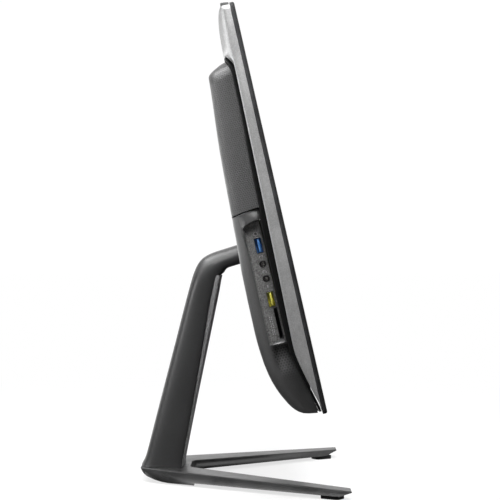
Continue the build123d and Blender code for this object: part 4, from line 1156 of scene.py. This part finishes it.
# (inset, depth, corner radius) from the rear edge of the rim to the front face
BEZEL_RIM = [(0.0, 3.7, 4.0), (0.0, 1.5, 4.0), (0.10, 0.95, 4.0), (0.38, 0.42, 3.8),
             (0.85, 0.10, 3.5), (1.5, 0.0, 3.0)]
# (inset, depth) of the screen opening, stepping down to the glass
BEZEL_OPENING = [(0.0, 0.0), (0.35, 0.08), (0.6, 0.35), (0.65, 0.9), (0.7, 2.0)]


def build_bezel():
    shell = Shell()

    def ring(back, *shape):
        return shell.loop((x, back, rise, x, rise) for x, rise in rounded_rect(*shape))

    rings = [ring(back, HEAD_HALF - inset, inset, BEZEL_TOP - inset, radius)
             for inset, back, radius in BEZEL_RIM]
    rings += [ring(back, 238.7 - inset, 44.3 + inset, 313.7 - inset, 0.9)
              for inset, back in BEZEL_OPENING]
    shell.loft(rings)
    inner_rings = [ring(back, 248.4, 29.2, 322.5, 1.0) for back in (3.7, 2.0)]
    shell.loft([rings[0], *inner_rings, rings[-1]])
    shell.build("front_bezel_frame", MAT["bezel"], replaces="front_bezel",
                merge=0.00001)


# ---------------------------------------------------------------------------
# Ports of the left side (-x); places are (rise, depth)
# ---------------------------------------------------------------------------
USB_LONG, USB_THICK = 13.1, 6.2
USB_FIT = 0.15              # how much larger the hole is than the port
BLUE_USB = (141.9, 23.8)
YELLOW_USB = (97.3, 23.8)
HEADPHONE = (126.5, 23.9)
MICROPHONE = (114.4, 23.8)
STATUS_LIGHT = (151.6, 24.3)


def pill(deep, tall, radius, steps=5):
    """(depth, rise) points of a rounded rectangle centred on nothing."""
    return rounded_rect(deep / 2, -tall / 2, tall / 2, radius, steps)


def circle(radius, count=40):
    return [(radius * math.cos(2 * math.pi * k / count),
             radius * math.sin(2 * math.pi * k / count)) for k in range(count)]


def side_loft(shell, place, sections, side=-1):
    """Closed loft along x through sections (distance from the middle, outline)."""
    rise, back = place
    rings = [shell.loop((side * x, back + deep, rise + tall, deep, tall)
                        for deep, tall in outline)
             for x, outline in sections]
    shell.loft(rings)
    shell.close(rings[-1], rings[0])


# (x, trim, corner radius): the metal shell, out over its lip and back inside
USB_SHELL = [(217.2, 0, 0.7), (232.9, 0, 0.7), (233.2, 0.12, 0.66), (233.3, 0.35, 0.6),
             (233.3, 0.6, 0.5), (233.15, 0.8, 0.45), (232.6, 0.9, 0.4), (219.0, 0.9, 0.4)]
# (x, trim in depth, trim in rise, corner radius) of the moulded insert
USB_INSERT = [(219.2, 1.0, 1.0, 0.35), (229.3, 1.0, 1.0, 0.35), (229.55, 1.35, 1.35, 0.3),
              (229.6, 1.9, 1.9, 0.3), (229.1, 2.2, 2.1, 0.25), (225.0, 2.3, 2.2, 0.2)]
# (x, thickness, trim in rise, corner radius) of the tongue
USB_TONGUE = [(225.5, 1.9, 2.9, 0.3), (232.2, 1.9, 2.9, 0.3), (232.55, 1.6, 3.2, 0.28),
              (232.7, 1.1, 3.7, 0.25)]
# (x, outline) of one contact
USB_CONTACT = [(226.0, pill(0.18, 1.0, 0.06, 2)), (232.3, pill(0.18, 1.0, 0.06, 2)),
               (232.4, pill(0.1, 0.8, 0.04, 2))]


def build_usb(name, place, node, material):
    rise, back = place
    shell = Shell()
    side_loft(shell, place, [(x, pill(USB_THICK - trim, USB_LONG - trim, radius))
                             for x, trim, radius in USB_SHELL])
    shell.build(name + "_shell", MAT["port_shell"], replaces=node + "_shell", merge=0.000005)
    insert = Shell()
    side_loft(insert, place, [(x, pill(USB_THICK - deep, USB_LONG - tall, radius))
                              for x, deep, tall, radius in USB_INSERT])
    side_loft(insert, (rise, back - 0.35), [(x, pill(thick, USB_LONG - tall, radius))
                                            for x, thick, tall, radius in USB_TONGUE])
    insert.build(name + "_insert", material, replaces=node + "_tongue",
                 merge=0.000005)
    contacts = Shell()
    for k in range(5):
        side_loft(contacts, (rise - 4.0 + 2.0 * k, back + 0.68), USB_CONTACT)
    contacts.build(name + "_contacts", MAT["plated"], merge=0.000002)


# (x, radius) of the socket and of the metal sleeve inside it
JACK_BODY = [(218.0, 2.95), (232.9, 2.95), (233.25, 2.85), (233.4, 2.6), (233.35, 2.3),
             (232.9, 2.02), (232.5, 1.85), (219.0, 1.8)]
JACK_SLEEVE = [(221.0, 1.76), (230.6, 1.76), (230.8, 1.6), (230.6, 1.45), (222.0, 1.4)]


def build_jack(name, place, node):
    body = Shell()
    side_loft(body, place, [(x, circle(radius)) for x, radius in JACK_BODY])
    body.build(name, MAT["jack"], replaces=node, merge=0.000005)
    sleeve = Shell()
    side_loft(sleeve, place, [(x, circle(radius)) for x, radius in JACK_SLEEVE])
    sleeve.build(name + "_sleeve", MAT["plated"], merge=0.000005)


def build_marks():
    """Plain light pictograms beside the ports: a ring, bars and an arc."""
    shell = Shell()

    def bar(rise, back, tall, deep, angle=0.0):
        cos, sin = math.cos(angle), math.sin(angle)
        outline = [(a * cos - b * sin, a * sin + b * cos)
                   for a, b in pill(deep, tall, min(deep, tall) * 0.3, 3)]
        side_loft(shell, (rise, back), [(232.7, outline), (233.04, outline)])

    def arc(rise, back, radius, start, end, count):
        length = abs(math.radians(end - start)) * radius / count * 1.35
        for i in range(count):
            angle = math.radians(start + (end - start) * (i + 0.5) / count)
            bar(rise + radius * math.cos(angle), back + radius * math.sin(angle),
                0.3, length, -angle)

    arc(*STATUS_LIGHT, radius=1.55, start=0, end=360, count=24)
    # bars: (rise, depth, height, width)
    for mark in ((133.2, 23.9, 0.32, 3.2), (132.5, 25.2, 0.8, 0.32), (132.6, 22.7, 0.9, 0.32)):
        bar(*mark)
    arc(120.2, 23.9, radius=1.25, start=-100, end=100, count=12)
    for mark in ((119.7, 22.6, 1.1, 0.5), (119.7, 25.2, 1.1, 0.5), (108.4, 24.0, 1.3, 0.6),
                 (107.3, 24.0, 0.3, 1.5), (104.9, 24.0, 0.3, 1.2)):
        bar(*mark)
    for k in range(9):
        bar(69.0 + k * 1.75, 26.8, 1.15 if k % 3 else 0.7, 0.4)
        bar(69.0 + k * 1.75, 28.3, 0.8 if k % 2 else 1.2, 0.4)
    shell.build("port_marks", MAT["print"])


# ---------------------------------------------------------------------------
# Trays that fill the side recesses
# ---------------------------------------------------------------------------
TRAY_FRONT = 19.35
TRAY_SHOULDER = 157.0       # rise where the straight edges end
# (x, rear edge, lower edge, arch): arch blends the top from the panel's to the recess's
TRAY_SECTIONS = [
    (231.2, 32.9, 60.2, 0.0), (231.2, 33.6, 59.6, 1.08), (237.9, 33.6, 59.6, 1.08),
    (238.2, 33.3, 59.9, 1.0), (237.8, 33.05, 60.15, 0.93), (236.6, 32.9, 60.4, 0.76),
    (235.2, 32.8, 60.6, 0.46), (234.0, 32.7, 60.8, 0.20), (233.3, 32.6, 60.9, 0.05),
    (233.0, 32.2, 61.3, 0.0)]


def tray_outline(rear, foot, arch):
    def top_edge(back):
        return ((157.4 - 0.8 * ((back - 19.0) / 14.0) ** 2) * (1 - arch)
                + (RECESS_TOP + recess_arch(back) + 0.25) * arch)

    points = [(back, foot) for back in spread(TRAY_FRONT + 0.4, rear - 1.0, 9)]
    points.append((rear - 0.3, foot + 0.3))
    points += [(rear, rise) for rise in spread(foot + 1.0, TRAY_SHOULDER, 25)]
    points += [(back, top_edge(back)) for back in spread(rear, TRAY_FRONT + 0.4, 15)]
    points += [(TRAY_FRONT, rise) for rise in spread(TRAY_SHOULDER, foot + 0.4, 25)]
    return points


def cut_with(ob, cutter):
    cut = ob.modifiers.new("cut", "BOOLEAN")
    cut.operation = "DIFFERENCE"
    cut.solver = "EXACT"
    cut.object = cutter
    bake(ob)
    mesh = cutter.data
    bpy.data.objects.remove(cutter)
    bpy.data.meshes.remove(mesh)


def build_tray(side, name, node, holes):
    """holes: (place, outline) pairs cut through the face of the tray."""
    shell = Shell()
    rings = [shell.loop((side * x, back, rise, back, rise)
                        for back, rise in tray_outline(rear, foot, arch))
             for x, rear, foot, arch in TRAY_SECTIONS]
    shell.loft(rings)
    shell.close(rings[0], rings[-1])
    ob = shell.build(name, MAT["panel"], body=None, sharp=30, merge=0.000002)
    for place, outline in holes:
        cutter = Shell()
        side_loft(cutter, place, [(228.0, outline), (236.0, outline)], side=side)
        cut_with(ob, cutter.build("cutter", MAT["panel"], body=None, sharp=30))
    add_bevel(ob, width=0.00015, segments=2, angle=60)
    ob.data.set_sharp_from_angle(angle=math.radians(30))
    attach(ob, "display_head")
    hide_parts(node)


def build_trays():
    def slot_hole(deep, tall):
        return pill(deep, tall, 0.5, 4)

    usb_hole = slot_hole(USB_THICK + USB_FIT, USB_LONG + USB_FIT)
    jack_hole = circle(3.02, 48)
    button_hole = slot_hole(6.4, 12.4)
    build_tray(-1, "left_port_tray", "left_port_panel",
               [(BLUE_USB, usb_hole), (YELLOW_USB, usb_hole), (HEADPHONE, jack_hole),
                (MICROPHONE, jack_hole), ((77.0, 22.1), slot_hole(3.4, 26.6)),
                (STATUS_LIGHT, circle(0.95, 48))])
    build_tray(1, "right_control_tray", "right_control_panel",
               [((140.0, 24.6), circle(5.2, 48)), ((116.0, 24.6), button_hole),
                ((98.0, 24.6), button_hole)])


# ---------------------------------------------------------------------------
# Floor, light and camera (metres)
# ---------------------------------------------------------------------------
# name, place, target, width, height, power, spread in degrees
LAMPS = [
    ("key_rear_left", (-0.80, 1.20, 1.65), (0, 0.0, 0.28), 0.9, 0.8, 5, 180),
    ("top_soft", (-0.80, 0.50, 1.65), (0, 0.02, 0.15), 1.4, 1.3, 15, 180),
    ("near_side", (-0.80, -0.12, 0.98), (-0.26, 0.04, 0.54), 0.45, 0.35, 3.2, 72),
    ("front_fill", (-0.3, -2.3, 1.2), (0, 0, 0.2), 1.6, 1.2, 9, 180),
    ("rear_strip", (0.70, 1.70, 0.65), (0, 0.05, 0.28), 0.4, 1.2, 3, 180),
    ("rear_top", (0.0, 0.9, 1.9), (0, 0, 0.1), 0.9, 0.7, 14, 180),
    ("rear_low_left", (-0.9, 1.3, 0.60), (-0.2, 0.05, 0.30), 0.5, 0.4, 3.5, 180),
]
SKY_BASE = 0.0              # light from everywhere
# axis, start and full strength along it, strength: camera's side, far side, rear,
# above, front
SKY = [(0, -0.45, -0.97, 0.05), (0, 0.3, 0.95, 0.75), (1, 0.6, 0.97, 0.06),
       (2, 0.3, 0.95, 1.0), (1, -0.4, -0.95, 0.10)]
FLOOR_GLOW = 3.4            # strength of the floor's glow behind the product
FLOOR_X = (-6, -4, -2.5, -1.5, -0.8, -0.3, 0.3, 0.8, 1.5, 2.5, 3.4)
FLOOR_STRETCH = 4           # multiplies the x stations
FLOOR_Y = (-24, -9, -3, -1, 1, 3, 9, 24)


def add_lamp(name, place, target, width, height, power, spread_angle):
    light = bpy.data.lights.new(name, "AREA")
    light.shape = "RECTANGLE"
    light.size = width
    light.size_y = height
    light.energy = power
    light.spread = math.radians(spread_angle)
    ob = bpy.data.objects.new(name, light)
    ob.visible_camera = False
    ob.location = place
    aim = Vector(target) - Vector(place)
    ob.rotation_euler = aim.to_track_quat("-Z", "Y").to_euler()
    bpy.context.scene.collection.objects.link(ob)


def floor_material():
    """The camera sees pale paper fading to white; other rays meet a dark floor that
    glows behind the product."""
    material = make_mat("pale_paper", (0.86, 0.86, 0.86), rough=0.7, grain=260,
                        grain_col=0.01, grain_bump=0.05, blotch_col=0.01, blotch=1.5, wear=0,
                        rough_var=0.04)
    by_type = {node.type: node for node in material.node_tree.nodes}
    sh = Shader(material.node_tree)
    position = sh.add("ShaderNodeNewGeometry").outputs["Position"]
    length = sh.add("ShaderNodeVectorMath")
    length.operation = "LENGTH"
    sh.link(position, length.inputs[0])
    far = sh.ramp(length.outputs["Value"], 0.15, 1.1, 0.72, 1.0)
    camera_ray = sh.add("ShaderNodeLightPath").outputs["Is Camera Ray"]
    white = sh.add("ShaderNodeEmission")
    white.inputs[0].default_value = (1.0, 1.0, 1.0, 1)
    paper = sh.mix_shader(far, by_type["BSDF_PRINCIPLED"].outputs[0], white.outputs[0])
    dark = sh.add("ShaderNodeBsdfDiffuse")
    dark.inputs[0].default_value = (0.10, 0.10, 0.10, 1)
    glow = sh.add("ShaderNodeEmission")
    glow.inputs[0].default_value = (1, 1, 1, 1)
    glow.inputs[1].default_value = FLOOR_GLOW
    behind = sh.ramp(sh.split("ShaderNodeSeparateXYZ", position)[1], 0.7, 1.6)
    unseen = sh.mix_shader(behind, dark.outputs[0], glow.outputs[0])
    sh.link(sh.mix_shader(camera_ray, unseen, paper), by_type["OUTPUT_MATERIAL"].inputs[0])
    return material


def build_floor():
    mesh = bpy.data.meshes.new("floor")
    bm = bmesh.new()
    rows = [[bm.verts.new((x * FLOOR_STRETCH, y, 0.0)) for x in FLOOR_X] for y in FLOOR_Y]
    for near, far in zip(rows, rows[1:]):
        for i in range(len(FLOOR_X) - 1):
            bm.faces.new((near[i], near[i + 1], far[i + 1], far[i]))
    bm.to_mesh(mesh)
    bm.free()
    ob = bpy.data.objects.new("floor", mesh)
    bpy.context.scene.collection.objects.link(ob)
    mesh.materials.append(floor_material())
    mesh.polygons.foreach_set("use_smooth", [True] * len(mesh.polygons))


def build_world():
    world = bpy.data.worlds.new("studio")
    world.use_nodes = True
    world.node_tree.nodes.clear()
    sh = Shader(world.node_tree)
    output = sh.add("ShaderNodeOutputWorld")
    background = sh.add("ShaderNodeBackground")
    sh.link(background.outputs[0], output.inputs[0])
    direction = sh.split("ShaderNodeSeparateXYZ",
                         sh.add("ShaderNodeTexCoord").outputs["Generated"])
    level = SKY_BASE
    for axis, start, full, strength in SKY:
        level = sh.math("ADD", level, sh.ramp(direction[axis], start, full, 0.0, strength))
    camera_ray = sh.add("ShaderNodeLightPath").outputs["Is Camera Ray"]
    grey = sh.add("ShaderNodeCombineColor")
    for k in range(3):
        sh.link(level, grey.inputs[k])
    sh.link(sh.mix(camera_ray, grey.outputs[0], (1.02, 1.02, 1.02)), background.inputs[0])
    background.inputs[1].default_value = 1.0
    bpy.context.scene.world = world


def build_camera():
    """Looks along +x at the left side."""
    camera = bpy.data.cameras.new("camera")
    camera.sensor_width = 36.0
    camera.lens = 112.75
    camera.shift_x = -0.026
    camera.clip_start = 0.05
    camera.clip_end = 60
    ob = bpy.data.objects.new("camera", camera)
    ob.location = (-1.503, -0.0192, 0.2175)
    ob.rotation_euler = (math.radians(90), 0, math.radians(-90))
    bpy.context.scene.collection.objects.link(ob)
    bpy.context.scene.camera = ob
    view = bpy.context.scene.view_settings
    view.view_transform = "Standard"
    view.look = "None"
    view.exposure = 0.0


# ---------------------------------------------------------------------------
# Build everything
# ---------------------------------------------------------------------------
dress_cad()
build_rear_cover()
build_vent_cover()
build_lower_cover()
build_column()
build_trim()
build_mid_frame()
build_top_strip()
build_bezel()
build_trays()
build_usb("blue_port", BLUE_USB, "usb3_port", MAT["usb_blue"])
build_usb("yellow_port", YELLOW_USB, "charging_usb_port", MAT["usb_yellow"])
build_jack("headphone_socket", HEADPHONE, "headphone_jack")
build_jack("microphone_socket", MICROPHONE, "microphone_jack")
build_marks()

soften_cad("base_frame", width=0.0006, segments=3)
for cad_name in (
        "front_foot_pads", "rear_foot_pad", "card_reader", "status_light", "power_button",
        "brightness_up_button", "brightness_down_button", "rear_io_plate", "power_inlet",
        "ethernet_port", "hdmi_port", "rear_usb_ports", "hinge_head_bracket", "fan_housing",
        "webcam_lens", "hinge_shaft"):
    soften_cad(cad_name, width=0.00025, segments=2)

build_floor()
for lamp in LAMPS:
    add_lamp(*lamp)
build_world()
build_camera()
